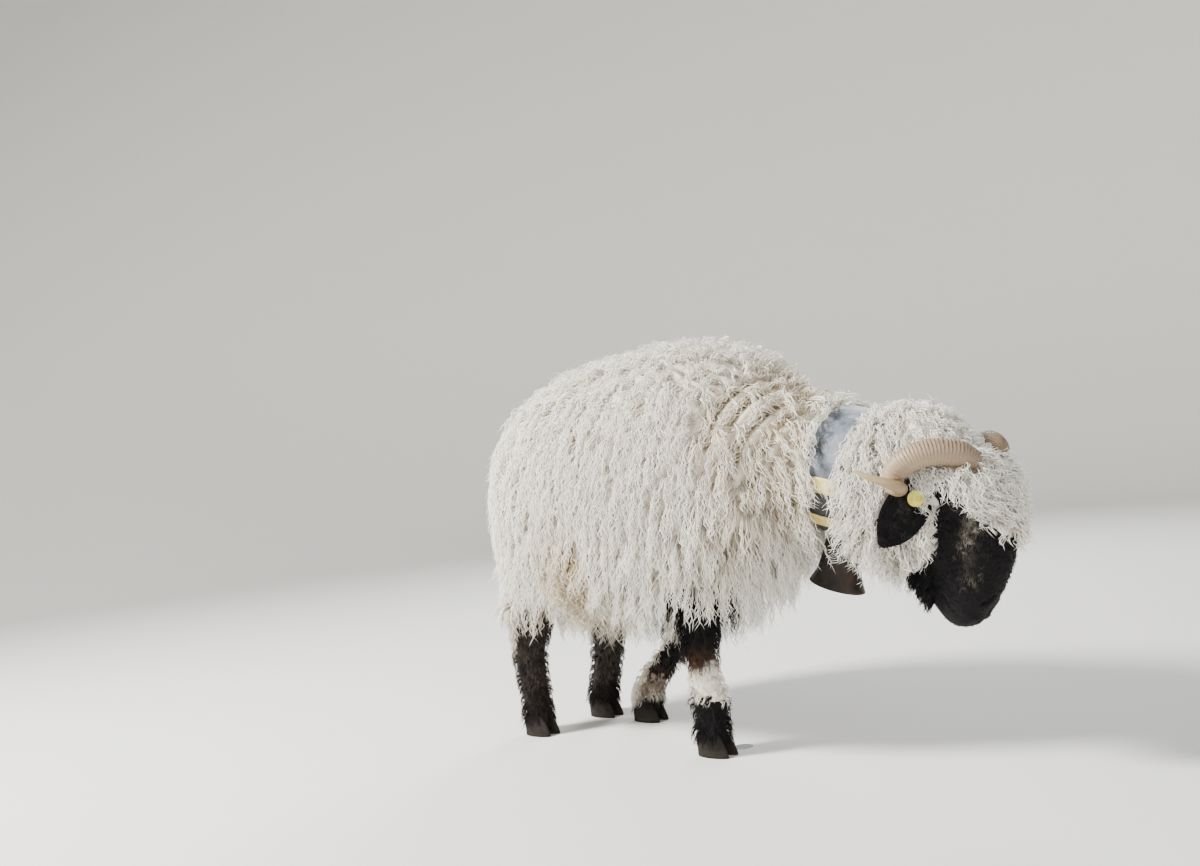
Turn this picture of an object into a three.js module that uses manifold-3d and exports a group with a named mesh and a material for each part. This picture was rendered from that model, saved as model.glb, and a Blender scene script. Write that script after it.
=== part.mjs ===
// Adult Valais blacknose ewe, life size, walking with its head low. Millimetres, +Z up.
// +X is forward, +Y is the animal's left, and z = 0 is the floor under its hooves.
import * as THREE from "three";
import { mergeVertices } from "three/addons/utils/BufferGeometryUtils.js";
import Module from "manifold-3d";

const wasm = await Module();
wasm.setup();

// Driving sizes of the animal.
const GAP = 0.3;
const HOOF_HEIGHT = 38;
const EYE_RADIUS = 13.5;
const HORN = { radius: 22, tip: 2.5, ridge: 1.3, flat: 0.92, rings: 27, smooth: 4 };

// Trunk: outline of the fleece out to the tips, from the rump to the collar.
const TRUNK = [
  { x: -438, top: 560, bottom: 345, half: 70 },
  { x: -426, top: 618, bottom: 302, half: 110 },
  { x: -392, top: 682, bottom: 276, half: 150 },
  { x: -330, top: 740, bottom: 264, half: 188 },
  { x: -250, top: 780, bottom: 258, half: 216 },
  { x: -140, top: 806, bottom: 255, half: 238 },
  { x: -20, top: 820, bottom: 253, half: 248 },
  { x: 90, top: 827, bottom: 249, half: 249 },
  { x: 170, top: 820, bottom: 262, half: 240 },
  { x: 232, top: 798, bottom: 314, half: 222 },
  { x: 282, top: 768, bottom: 364, half: 204 },
  { x: 325, top: 738, bottom: 402, half: 184 },
  { x: 364, top: 712, bottom: 430, half: 162 },
  { x: 412, top: 682, bottom: 446, half: 136 },
];

// Neck: from the collar to the back of the head, with the ruff round it.
const NECK = [
  { x: 404, top: 652, bottom: 444, half: 102 },
  { x: 440, top: 645, bottom: 436, half: 104 },
  { x: 492, top: 633, bottom: 424, half: 104 },
  { x: 512, top: 642, bottom: 384, half: 120 },
  { x: 532, top: 656, bottom: 338, half: 138 },
  { x: 558, top: 662, bottom: 328, half: 142 },
  { x: 590, top: 662, bottom: 345, half: 132 },
];

// Collar: its plane leans with the neck.
const COLLAR = { x: 464, z: 533, lean: 0.236, width: 76, thick: 5, half: 112, tall: 113 };

// Head: face and jaw outline in side view, and half width, from the crown to the lips.
const HEAD = [
  { z: 658, front: 632, back: 572, half: 36, wool: 1, brow: 0.3 },
  { z: 642, front: 658, back: 560, half: 66, wool: 1, brow: 0.8 },
  { z: 610, front: 686, back: 552, half: 92, wool: 1, brow: 1 },
  { z: 575, front: 712, back: 548, half: 100, wool: 1, brow: 1 },
  { z: 540, front: 740, back: 548, half: 94, wool: 0.8, brow: 1.1 },
  { z: 510, front: 762, back: 548, half: 84, wool: 0.4, brow: 1.2 },
  { z: 480, front: 770, back: 550, half: 77, brow: 1 },
  { z: 448, front: 760, back: 550, half: 69, brow: 0.5 },
  { z: 405, front: 747, back: 552, half: 61 },
  { z: 370, front: 738, back: 557, half: 55 },
  { z: 340, front: 725, back: 570, half: 49 },
  { z: 312, front: 708, back: 588, half: 43 },
  { z: 290, front: 694, back: 602, half: 38 },
  { z: 272, front: 679, back: 616, half: 31 },
  { z: 262, front: 664, back: 632, half: 20 },
];
const HEAD_BACK_X = 572;
const HEAD_AXIS_X = 650;

// Legs: centre line and half widths, front to back and across, from the body to the hoof.
const LEGS = {
  front_right: {
    sole: [126, -66],
    line: [
      { at: [156, -102, 390], long: 46, wide: 34 },
      { at: [148, -99, 320], long: 44, wide: 36 },
      { at: [138, -94, 262], long: 43, wide: 38 },
      { at: [128, -88, 214], long: 37, wide: 34 },
      { at: [125, -77, 165], long: 35, wide: 34 },
      { at: [125, -70, 105], long: 41, wide: 39 },
      { at: [124, -68, 70], long: 39, wide: 36 },
      { at: [121, -66, HOOF_HEIGHT], long: 35, wide: 31 },
    ],
  },
  front_left: {
    sole: [-192, 98],
    line: [
      { at: [98, 98, 395], long: 46, wide: 34 },
      { at: [50, 96, 322], long: 44, wide: 36 },
      { at: [-12, 94, 250], long: 40, wide: 37 },
      { at: [-67, 91, 196], long: 36, wide: 33 },
      { at: [-120, 92, 142], long: 32, wide: 31 },
      { at: [-168, 95, 94], long: 36, wide: 36 },
      { at: [-190, 97, 64], long: 37, wide: 35 },
      { at: [-197, 98, HOOF_HEIGHT], long: 35, wide: 31 },
    ],
  },
  hind_right: {
    sole: [-350, -90],
    line: [
      { at: [-292, -92, 400], long: 64, wide: 40 },
      { at: [-316, -100, 320], long: 64, wide: 46 },
      { at: [-344, -100, 245], long: 54, wide: 46 },
      { at: [-360, -95, 188], long: 45, wide: 40 },
      { at: [-360, -92, 130], long: 41, wide: 37 },
      { at: [-358, -90, 85], long: 39, wide: 36 },
      { at: [-355, -90, 55], long: 37, wide: 34 },
      { at: [-354, -90, HOOF_HEIGHT], long: 35, wide: 31 },
    ],
  },
  hind_left: {
    sole: [-326, 94],
    line: [
      { at: [-232, 94, 400], long: 64, wide: 40 },
      { at: [-252, 100, 320], long: 62, wide: 45 },
      { at: [-280, 103, 245], long: 52, wide: 46 },
      { at: [-297, 98, 188], long: 44, wide: 40 },
      { at: [-306, 95, 130], long: 40, wide: 37 },
      { at: [-318, 94, 85], long: 39, wide: 36 },
      { at: [-327, 94, 57], long: 37, wide: 34 },
      { at: [-330, 94, HOOF_HEIGHT], long: 35, wide: 31 },
    ],
  },
};

// Places on the head, given for the animal's left side and mirrored for its right.
const EYE_AT = [682, 62, 472];
const EYE_LOOKS = [0.42, 0.9, 0.08];
const LID = { over: 4.5, slit: [14, 12, 8.5], out: 15 };
const EAR = { base: [634, 76, 512], tip: [588, 152, 418], faces: [0.7, 0.7, -0.1], half: 29, thick: 15 };
const TAIL_LOCKS = [
  { z: 590, y: 6 },
  { z: 545, y: -28 },
  { z: 520, y: 28 },
];
const SHANK_HEIGHTS = [190, 116];
const SHANK_COUNT = 3;
const HORN_LINES = {
  right: [
    [712, 42, 540],
    [690, 68, 557],
    [660, 94, 562],
    [630, 112, 553],
    [606, 118, 534],
    [604, 121, 515],
    [617, 131, 507],
    [631, 149, 510],
    [618, 167, 520],
    [594, 179, 532],
    [571, 185, 544],
  ],
  left: [
    [712, 42, 540],
    [692, 68, 560],
    [664, 96, 570],
    [636, 120, 560],
    [620, 138, 534],
    [632, 156, 512],
    [652, 174, 520],
    [662, 186, 550],
  ],
};
const TAG = { along: 0.24, radius: 14, thick: 2.4, reach: 12 };
const TAIL = [
  { at: [-382, 0, 664], long: 26, wide: 36 },
  { at: [-410, 0, 618], long: 29, wide: 40 },
  { at: [-428, 0, 560], long: 28, wide: 42 },
  { at: [-436, 0, 495], long: 25, wide: 39 },
  { at: [-438, 0, 440], long: 19, wide: 30 },
  { at: [-437, 0, 406], long: 9, wide: 16 },
];
const BELL = { top: [424, 0, 410], lean: 0.3, height: 88, mouth: 55, crown: 36, flat: 0.74, wall: 2.5 };
const CLAPPER = { rod: 3.5, ball: 10, drop: 90 };
const BANDS = { upper: 514, lower: 455, tall: 28, thick: 3, over: 9 };

// Coat: how deep the core lies under the tips, and the sizes of a lock in each place.
const COAT = { trunk: 34, neck: 30, head: 26, sunk: 16 };
const LOCK_RINGS = [
  { along: 0.16, wide: 0.86, high: 0.7, tall: 1, side: 0.4 },
  { along: 0.55, wide: 1, high: 1, tall: 0.95, side: -0.6 },
  { along: 0.86, wide: 0.6, high: 0.7, tall: 0.7, side: 0.7 },
];
const LOCKS = {
  back: { length: 186, half: 84, thick: 14, rise: 24, wave: 6 },
  side: { length: 190, half: 74, thick: 16, rise: 21, wave: 9 },
  skirt: { length: 116, half: 70, thick: 16, rise: 18, wave: 9 },
  chest: { length: 96, half: 60, thick: 14, rise: 18, wave: 6 },
  crest: { length: 112, half: 48, thick: 12, rise: 26, wave: 4 },
  fringe: { length: 136, half: 58, thick: 12, rise: 38, wave: 8 },
  gather: { length: 84, half: 56, thick: 12, rise: 34, wave: 6 },
  ruff: { length: 96, half: 38, thick: 12, rise: 16, wave: 8 },
  poll: { length: 76, half: 38, thick: 11, rise: 14, wave: 5 },
  curl: { length: 62, half: 22, thick: 9, rise: 15, wave: 8 },
  cheek: { length: 90, half: 32, thick: 10, rise: 12, wave: 6 },
  shank: { length: 70, half: 32, thick: 9, rise: 6, wave: 5 },
  tail: { length: 96, half: 30, thick: 10, rise: 8, wave: 6 },
};
const FRINGE_REACH = 46;

// Distances from a form's middle at which the search for its surface starts.
const TRUNK_REACH = 300;
const HEAD_REACH = 200;
const LEG_REACH = 80;
const TAIL_REAR_X = -520;
const MOUTH = { from: [668, 264], to: [630, 320], gap: 3, deep: 7 };
const LIPS = [
  { at: [671, 0, 290], size: [20, 28, 18] },
  { at: [640, 0, 290], size: [16, 22, 20] },
];
const NOSTRIL = { at: [700, 15, 305], size: [8, 4.5, 9], turn: 0.5 };

const SIDES = { trunk: 18, neck: 16, head: 18, leg: 8, horn: 8, ear: 10, tail: 8, hoof: 8, ball: 9, bell: 16 };
const FLANKS = { right: -1, left: 1 };
const UP = new THREE.Vector3(0, 0, 1);
const DOWN = new THREE.Vector3(0, 0, -1);
const AHEAD = new THREE.Vector3(1, 0, 0);

// A closed mesh as a solid, turned right side out.
function solidOf(geometry) {
  geometry.deleteAttribute("normal");
  geometry.deleteAttribute("uv");
  const merged = mergeVertices(geometry, 1e-3);
  const triVerts = new Uint32Array(merged.index.array);
  const make = () =>
    new wasm.Manifold(
      new wasm.Mesh({ numProp: 3, vertProperties: merged.attributes.position.array, triVerts }),
    );
  const solid = make();
  if (solid.volume() > 0) return solid;
  for (let i = 0; i < triVerts.length; i += 3) {
    [triVerts[i + 1], triVerts[i + 2]] = [triVerts[i + 2], triVerts[i + 1]];
  }
  return make();
}

function largest(solid) {
  return solid.decompose().reduce((best, piece) => (piece.volume() > best.volume() ? piece : best));
}

function fused(solids) {
  return solids.reduce((whole, piece) => whole.add(piece));
}

// A closed tapered form through rings; each ring has a centre and two half widths.
function loft(rings, sides, lead, shape = {}) {
  const { power = 2, egg = 0, grow = 0, axis = null, tip = 0, root = null } = shape;
  const geometry = new THREE.SphereGeometry(1, sides, rings.length + 1);
  const place = geometry.getAttribute("position");
  for (let row = 0; row <= rings.length + 1; row++) {
    const k = THREE.MathUtils.clamp(row - 1, 0, rings.length - 1);
    const ring = rings[k];
    const before = rings[Math.max(k - 1, 0)].at;
    const after = rings[Math.min(k + 1, rings.length - 1)].at;
    const along = axis ?? after.clone().sub(before).normalize();
    const up = lead.clone().addScaledVector(along, -lead.dot(along)).normalize();
    const side = up.clone().cross(along);
    const end = row === 0 ? -1 : row === rings.length + 1 ? 1 : 0;
    for (let column = 0; column <= sides; column++) {
      const turn = (column / sides) * 2 * Math.PI;
      const c = Math.cos(turn);
      const s = Math.sin(turn);
      const across = Math.sign(c) * Math.abs(c) ** (2 / power) * (ring.wide + grow) * (1 - egg * s);
      const rise = Math.sign(s) * Math.abs(s) ** (2 / power) * (ring.long + grow);
      const point = ring.at.clone().addScaledVector(along, end * grow + (end > 0 ? tip : 0));
      if (end < 0 && root) point.copy(root);
      if (end === 0) {
        point.copy(ring.at).addScaledVector(side, across).addScaledVector(up, rise);
        if (k === 0) point.addScaledVector(along, -grow);
        if (k === rings.length - 1) point.addScaledVector(along, grow);
      }
      place.setXYZ(row * (sides + 1) + column, point.x, point.y, point.z);
    }
  }
  return solidOf(geometry);
}

const vector = (list) => new THREE.Vector3(...list);
const mirrored = ([x, y, z], sign) => new THREE.Vector3(x, y * sign, z);

// Rings of a form that runs along x, from its top, bottom and half width.
function lengthwise(outline, inset = 0) {
  return outline.map(({ x, top, bottom, half }) => ({
    at: new THREE.Vector3(x, 0, (top + bottom) / 2),
    long: (top - bottom) / 2 - inset,
    wide: half - inset,
  }));
}

// Extra rings between the given ones on smooth curves.
function smooth(rings, count) {
  const centres = new THREE.CatmullRomCurve3(rings.map((ring) => ring.at));
  const widths = new THREE.CatmullRomCurve3(
    rings.map((ring) => new THREE.Vector3(ring.long, ring.wide, 0)),
  );
  return Array.from({ length: count }, (_, k) => {
    const t = k / (count - 1);
    const size = widths.getPoint(t);
    return { at: centres.getPoint(t), long: size.x, wide: size.y };
  });
}

// A flat-sided block that removes everything beyond a plane.
function beyond(point, normal, size = 1600) {
  const block = new THREE.BoxGeometry(size, size, size);
  const turn = new THREE.Quaternion().setFromUnitVectors(UP, normal);
  block.translate(0, 0, size / 2);
  block.applyQuaternion(turn);
  block.translate(point.x, point.y, point.z);
  return solidOf(block);
}

const collarAxis = new THREE.Vector3(1, 0, -COLLAR.lean).normalize();
const collarCentre = new THREE.Vector3(COLLAR.x, 0, COLLAR.z);
const collarRoom = COLLAR.width + 2 * BANDS.over + 2 * GAP;
const neckCut = collarCentre.clone().addScaledVector(collarAxis, -collarRoom / 2);
const headCut = new THREE.Vector3(HEAD_BACK_X, 0, 0);

// Sets a shape drawn about the Y axis, one unit in radius, round the neck.
function alongNeck(geometry, half, tall, offset) {
  geometry.scale(half, 1, tall);
  geometry.rotateX(Math.PI / 2);
  const across = new THREE.Vector3(0, 1, 0);
  const rise = new THREE.Vector3().crossVectors(collarAxis, across);
  geometry.applyMatrix4(new THREE.Matrix4().makeBasis(across, rise, collarAxis));
  const centre = collarCentre.clone().addScaledVector(collarAxis, offset);
  return geometry.translate(centre.x, centre.y, centre.z);
}

function neckRing(width, thick, half, tall) {
  const outer = 1 + thick / half;
  const corners = [
    [1, -width / 2],
    [outer, -width / 2],
    [outer, width / 2],
    [1, width / 2],
    [1, -width / 2],
  ];
  const profile = corners.map(([r, y]) => new THREE.Vector2(r, y));
  return solidOf(alongNeck(new THREE.LatheGeometry(profile, 24), half, tall, 0));
}

// Small repeatable random numbers, so that each build gives the same locks.
function dice(seed) {
  let state = seed;
  return (spread = 1) => {
    state = (state * 1664525 + 1013904223) % 4294967296;
    return (state / 2147483648 - 1) * spread;
  };
}

// The ring of a straight-axised form beside a point, and the point's place within it.
function within(form, point) {
  const { rings, axis } = form;
  const q = point.dot(axis);
  let k = rings.findIndex((ring) => ring.at.dot(axis) > q);
  k = THREE.MathUtils.clamp(k < 0 ? rings.length - 1 : k, 1, rings.length - 1);
  const low = rings[k - 1].at.dot(axis);
  const high = rings[k].at.dot(axis);
  const t = THREE.MathUtils.clamp((q - low) / (high - low), 0, 1);
  const mix = (key) => THREE.MathUtils.lerp(rings[k - 1][key], rings[k][key], t);
  const centre = rings[k - 1].at.clone().lerp(rings[k].at, t);
  const side = form.lead.clone().cross(axis);
  const from = point.clone().sub(centre);
  const along = from.dot(axis);
  const b = from.dot(form.lead) / mix("long");
  const a = from.dot(side) / (mix("wide") * (1 - form.egg * THREE.MathUtils.clamp(b, -1, 1)));
  const reach = (Math.abs(a) ** form.power + Math.abs(b) ** form.power) ** (1 / form.power);
  return { centre: centre.addScaledVector(axis, along), reach };
}

// The place on a form's surface beside a point, with its outward direction.
function onSurface(form, point) {
  const { centre, reach } = within(form, point);
  const place = centre.clone().lerp(point, 1 / reach);
  const step = 3;
  const slope = ["x", "y", "z"].map((key) => {
    const more = place.clone();
    const less = place.clone();
    more[key] += step;
    less[key] -= step;
    return within(form, more).reach - within(form, less).reach;
  });
  return { place, out: vector(slope).normalize() };
}

// A flat tapered lock that lies along a form, falls the given way and hangs free past its edge.
function lock(form, start, fall, size, roll) {
  const { length, half, thick, rise, wave } = size;
  const long = length * (1 + roll(0.14));
  const broad = half * (1 + roll(0.12));
  const sway = roll(1) > 0 ? wave : -wave;
  let here = onSurface(form, start);
  const lead = here.out.clone();
  const root = here.place.clone().addScaledVector(here.out, -COAT.sunk);
  let before = 0;
  const rings = LOCK_RINGS.map(({ along, wide, high, tall, side }) => {
    const way = fall.clone();
    const hangs = here.out.z < -0.45;
    if (!hangs) way.addScaledVector(here.out, -fall.dot(here.out));
    const next = here.place.clone().addScaledVector(way.normalize(), (along - before) * long);
    before = along;
    here = hangs ? { place: next, out: here.out } : onSurface(form, next);
    const across = here.out.clone().cross(fall).normalize();
    return {
      at: here.place.clone().addScaledVector(here.out, rise * high).addScaledVector(across, sway * side),
      long: thick * tall,
      wide: broad * wide,
    };
  });
  return loft(rings, 4, lead, { tip: long * 0.16, root });
}

function legRings(name) {
  return smooth(
    LEGS[name].line.map(({ at, long, wide }) => ({ at: vector(at), long, wide })),
    9,
  );
}

function legForm(name, grow = 0) {
  return loft(legRings(name), SIDES.leg, AHEAD, { grow });
}

// Short woolly locks in rows round the lower leg.
function leg(name, seed) {
  const rings = legRings(name);
  const axis = rings.at(-1).at.clone().sub(rings[3].at).normalize();
  const lead = AHEAD.clone().addScaledVector(axis, -AHEAD.dot(axis)).normalize();
  const form = { rings, axis, lead, power: 2, egg: 0 };
  const roll = dice(seed);
  const locks = [];
  SHANK_HEIGHTS.forEach((height, row) => {
    for (let k = 0; k < SHANK_COUNT; k++) {
      const ring = rings.reduce((best, one) =>
        Math.abs(one.at.z - height) < Math.abs(best.at.z - height) ? one : best,
      );
      const turn = ((k + (row % 2) / 2) / SHANK_COUNT) * 2 * Math.PI + roll(0.2);
      const outward = new THREE.Vector3(Math.cos(turn), Math.sin(turn), 0);
      const start = ring.at.clone().addScaledVector(outward, LEG_REACH);
      locks.push(lock(form, start, axis, LOCKS.shank, roll));
    }
  });
  const whole = fused([legForm(name), ...locks]);
  return largest(whole.subtract(beyond(new THREE.Vector3(0, 0, HOOF_HEIGHT + GAP), DOWN)));
}

// Two claws side by side on one flat sole.
function hoof(name) {
  const [x, y] = LEGS[name].sole;
  const claws = [-1, 1].map((side) => {
    const rings = [
      { at: new THREE.Vector3(x + 4, y + side * 15, 0), long: 37, wide: 15.5 },
      { at: new THREE.Vector3(x, y + side * 14.5, 20), long: 34, wide: 15 },
      { at: new THREE.Vector3(x - 5, y + side * 13, HOOF_HEIGHT), long: 29, wide: 14 },
    ];
    return loft(rings, SIDES.hoof, AHEAD, { axis: UP });
  });
  return largest(fused(claws));
}

function tailRings() {
  return smooth(
    TAIL.map(({ at, long, wide }) => ({ at: vector(at), long, wide })),
    8,
  );
}

function tailForm(grow = 0) {
  return loft(tailRings(), SIDES.tail, AHEAD, { grow });
}

function tail() {
  const form = { rings: tailRings(), axis: DOWN, lead: AHEAD, power: 2, egg: 0 };
  const roll = dice(23);
  const locks = TAIL_LOCKS.map(({ z, y }) => {
    const start = new THREE.Vector3(TAIL_REAR_X, y, z);
    return lock(form, start, DOWN, LOCKS.tail, roll);
  });
  return largest(fused([tailForm(), ...locks]));
}

// Rings of a lengthwise form sunk under its outline, and drawn in from its rear end.
function core(outline, depth, endDepth) {
  const first = outline[0].x;
  return lengthwise(outline, depth).map((ring) => {
    const nearEnd = THREE.MathUtils.clamp(1 - (ring.at.x - first) / 120, 0, 1);
    ring.at.x += endDepth * nearEnd;
    return ring;
  });
}

const trunkCore = { rings: core(TRUNK, COAT.trunk, 26), axis: AHEAD, lead: UP, power: 2.25, egg: 0.06 };
const neckCore = { rings: core(NECK, 0, 0), axis: AHEAD, lead: UP, power: 2.1, egg: 0 };
neckCore.rings.slice(3).forEach((ring) => {
  ring.long -= COAT.neck;
  ring.wide -= COAT.neck;
});

// A point at an angle round a form, measured up from its left side.
function round(form, x, degrees) {
  const { centre } = within(form, new THREE.Vector3(x, 0.1, 0));
  const turn = THREE.MathUtils.degToRad(degrees);
  return new THREE.Vector3(x, Math.cos(turn) * TRUNK_REACH, centre.z + Math.sin(turn) * TRUNK_REACH);
}

function rowsOfLocks(form, rows, seed) {
  const roll = dice(seed);
  const locks = [];
  rows.forEach(({ angle, from, to, count, size, fall }) => {
    Object.values(FLANKS).forEach((sign) => {
      for (let k = 0; k < count; k++) {
        const x = THREE.MathUtils.lerp(from, to, count > 1 ? k / (count - 1) : 0) + roll(10);
        const degrees = angle + roll(3);
        const start = round(form, x, degrees);
        start.y *= sign;
        const way = vector(fall).add(new THREE.Vector3(roll(0.12), roll(0.05), 0)).normalize();
        locks.push(lock(form, start, way, LOCKS[size], roll));
      }
    });
  });
  return locks;
}

const TRUNK_ROWS = [
  { angle: 82, from: -330, to: 270, count: 4, size: "back", fall: [-0.5, 0, -1] },
  { angle: 54, from: -372, to: 316, count: 5, size: "side", fall: [-0.14, 0, -1] },
  { angle: 29, from: -312, to: 262, count: 4, size: "side", fall: [-0.08, 0, -1] },
  { angle: 3, from: -380, to: 318, count: 5, size: "side", fall: [-0.04, 0, -1] },
  { angle: -24, from: -310, to: 258, count: 4, size: "side", fall: [0, 0, -1] },
  { angle: -50, from: -366, to: 196, count: 5, size: "skirt", fall: [0, 0, -1] },
  { angle: -66, from: 232, to: 232, count: 1, size: "chest", fall: [-0.1, 0, -1] },
  { angle: 60, from: 366, to: 366, count: 1, size: "crest", fall: [1, 0, -0.5] },
  { angle: 34, from: 402, to: 402, count: 1, size: "fringe", fall: [0.35, 0, -1] },
  { angle: 2, from: 396, to: 396, count: 1, size: "gather", fall: [0.15, 0, -1] },
];

// The collar's room inside the overhanging fringe.
function neckBore() {
  const { half, tall, thick } = COLLAR;
  const reach = 200;
  const more = thick + BANDS.thick + 4 * GAP;
  const disc = new THREE.CylinderGeometry(1, 1, reach, 32);
  disc.translate(0, reach / 2, 0);
  return solidOf(alongNeck(disc, half + more, tall + more, -collarRoom / 2 - GAP));
}

function torso() {
  const { rings, lead, ...shape } = trunkCore;
  let body = fused([loft(rings, SIDES.trunk, lead, shape), ...rowsOfLocks(trunkCore, TRUNK_ROWS, 7)]);
  Object.keys(LEGS).forEach((name) => {
    body = body.subtract(legForm(name, GAP));
  });
  body = body.subtract(tailForm(GAP)).subtract(neckBore());
  body = body.subtract(beyond(neckCut.clone().addScaledVector(collarAxis, FRINGE_REACH), collarAxis));
  return largest(body);
}

const NECK_ROWS = [
  { angle: 70, from: 544, to: 544, count: 1, size: "ruff", fall: [-0.3, 0, -1] },
  { angle: 22, from: 526, to: 560, count: 2, size: "ruff", fall: [-0.3, 0, -1] },
  { angle: -38, from: 528, to: 558, count: 2, size: "ruff", fall: [-0.1, 0, -1] },
];

function neck() {
  const { rings, lead, ...shape } = neckCore;
  let body = fused([loft(rings, SIDES.neck, lead, shape), ...rowsOfLocks(neckCore, NECK_ROWS, 11)]);
  body = body.subtract(beyond(neckCut, collarAxis.clone().negate()));
  body = body.subtract(beyond(headCut, AHEAD));
  body = body.subtract(neckRing(collarRoom, 80, COLLAR.half - GAP, COLLAR.tall - GAP));
  return largest(body);
}

// The head's rings: the outline itself, or the skull with the wool's depth taken off.
function headRings(depth) {
  return HEAD.map(({ z, front, back, half, wool = 0, brow = 0 }) => ({
    at: new THREE.Vector3((front - brow * depth + back) / 2, 0, z - wool * depth * 0.7),
    long: (front - brow * depth - back) / 2,
    wide: half - wool * depth,
  }));
}

function headPoint(z, degrees, sign) {
  const turn = THREE.MathUtils.degToRad(degrees);
  return new THREE.Vector3(HEAD_AXIS_X + Math.cos(turn) * HEAD_REACH, Math.sin(turn) * HEAD_REACH * sign, z);
}

const HEAD_ROWS = [
  { z: 632, angles: [38, 118], size: "poll", fall: [0.1, 0, -1] },
  { z: 598, angles: [14, 70, 124], size: "poll", fall: [0.2, 0, -1] },
  { z: 556, angles: [22], size: "poll", fall: [0, 0, -1] },
  { z: 530, angles: [4, 33], size: "curl", fall: [0.1, 0, -1] },
  { z: 506, angles: [15], size: "curl", fall: [0, 0, -1] },
  { z: 460, angles: [138], size: "cheek", fall: [-0.2, 0, -1] },
];

function headLocks(form) {
  const roll = dice(41);
  const locks = [];
  HEAD_ROWS.forEach(({ z, angles, size, fall }) => {
    angles.forEach((angle) => {
      Object.values(FLANKS).forEach((sign) => {
        const start = headPoint(z + roll(5), angle + roll(5), sign);
        const way = new THREE.Vector3(fall[0] + roll(0.12), sign * 0.15 + roll(0.1), fall[2]).normalize();
        locks.push(lock(form, start, way, LOCKS[size], roll));
      });
    });
  });
  return locks;
}

// A thin slit along the lips, no deeper than the groove of the mouth.
function mouthLine() {
  const [fromX, fromZ] = MOUTH.from;
  const [toX, toZ] = MOUTH.to;
  const run = Math.hypot(toX - fromX, toZ - fromZ);
  const slab = new THREE.BoxGeometry(MOUTH.gap, 120, run * 1.5);
  slab.translate(0, 0, -run * 0.25);
  slab.rotateY(Math.atan2(toX - fromX, toZ - fromZ));
  slab.translate((fromX + toX) / 2, 0, (fromZ + toZ) / 2);
  const inner = HEAD.map(({ z, front, back, half }) => ({
    at: new THREE.Vector3((front + back) / 2, 0, z),
    long: (front - back) / 2 - MOUTH.deep,
    wide: half - MOUTH.deep,
  }));
  return solidOf(slab).subtract(loft(inner, SIDES.head, AHEAD, { power: 2.2, axis: DOWN }));
}

function nostril(sign) {
  const pit = new THREE.SphereGeometry(1, 10, 6);
  pit.scale(...NOSTRIL.size);
  pit.rotateX(sign * NOSTRIL.turn);
  const at = mirrored(NOSTRIL.at, sign);
  pit.translate(at.x, at.y, at.z);
  return solidOf(pit);
}

function lip({ at, size }) {
  const swell = new THREE.SphereGeometry(1, 12, 8);
  swell.scale(...size);
  swell.translate(...at);
  return solidOf(swell);
}

function ball(at, radius) {
  const geometry = new THREE.SphereGeometry(radius, SIDES.ball, 7);
  geometry.translate(at.x, at.y, at.z);
  return solidOf(geometry);
}

// The opening between the lids, a lens in front of the eyeball.
function lidOpening(sign) {
  const looks = mirrored(EYE_LOOKS, sign).normalize();
  const lens = new THREE.SphereGeometry(1, SIDES.ball, 6);
  lens.scale(...LID.slit);
  const turn = new THREE.Quaternion().setFromUnitVectors(new THREE.Vector3(0, sign, 0), looks);
  lens.applyQuaternion(turn);
  const at = mirrored(EYE_AT, sign).addScaledVector(looks, LID.out);
  lens.translate(at.x, at.y, at.z);
  return solidOf(lens);
}

// Rings close together, every second one raised as a ridge beyond the root.
function hornRings(side, sign) {
  const curve = new THREE.CatmullRomCurve3(HORN_LINES[side].map((point) => mirrored(point, sign)));
  return Array.from({ length: HORN.rings }, (_, k) => {
    const t = k / (HORN.rings - 1);
    const ridge = k > HORN.smooth && k < HORN.rings * 0.6 && k % 2 === 1 ? HORN.ridge : 0;
    const radius = HORN.radius * (1 - t) ** 0.7 + HORN.tip + ridge;
    return { at: curve.getPoint(t), long: radius * HORN.flat, wide: radius };
  });
}

function horn(side, sign) {
  return largest(loft(hornRings(side, sign), SIDES.horn, UP));
}

// The room a horn takes: its root exactly, and a little more round its ridges.
function hornRoom(side, sign) {
  const rings = hornRings(side, sign).map((ring, k) => {
    const more = k > HORN.smooth ? HORN.ridge + 2.4 : GAP;
    return { at: ring.at, long: ring.long + more, wide: ring.wide + more };
  });
  const kept = rings.filter((_, k) => k <= HORN.smooth + 1 || k % 2 === 0);
  return loft(kept, SIDES.horn, UP, { grow: 0.01 });
}

function earLead(sign) {
  return mirrored(EAR.faces, sign).normalize();
}

function earForm(sign, grow = 0) {
  const base = mirrored(EAR.base, sign);
  const tip = mirrored(EAR.tip, sign);
  const shape = [0.5, 0.78, 0.98, 1, 0.78, 0.34];
  const rings = shape.map((size, k) => ({
    at: base.clone().lerp(tip, k / (shape.length - 1)),
    long: EAR.thick * (0.5 + 0.3 * size),
    wide: EAR.half * size,
  }));
  return loft(smooth(rings, 8), SIDES.ear, earLead(sign), { grow });
}

// The hollow of the ear, deepest near its base.
function earCup(sign) {
  const base = mirrored(EAR.base, sign);
  const tip = mirrored(EAR.tip, sign);
  const shape = [0.3, 0.8, 1, 0.9, 0.45];
  const rings = shape.map((size, k) => ({
    at: base
      .clone()
      .lerp(tip, 0.2 + (0.7 * k) / (shape.length - 1))
      .addScaledVector(earLead(sign), EAR.thick * 0.8),
    long: EAR.thick * 0.72 * size,
    wide: EAR.half * 0.74 * size,
  }));
  return loft(rings, SIDES.ear, earLead(sign));
}

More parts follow.
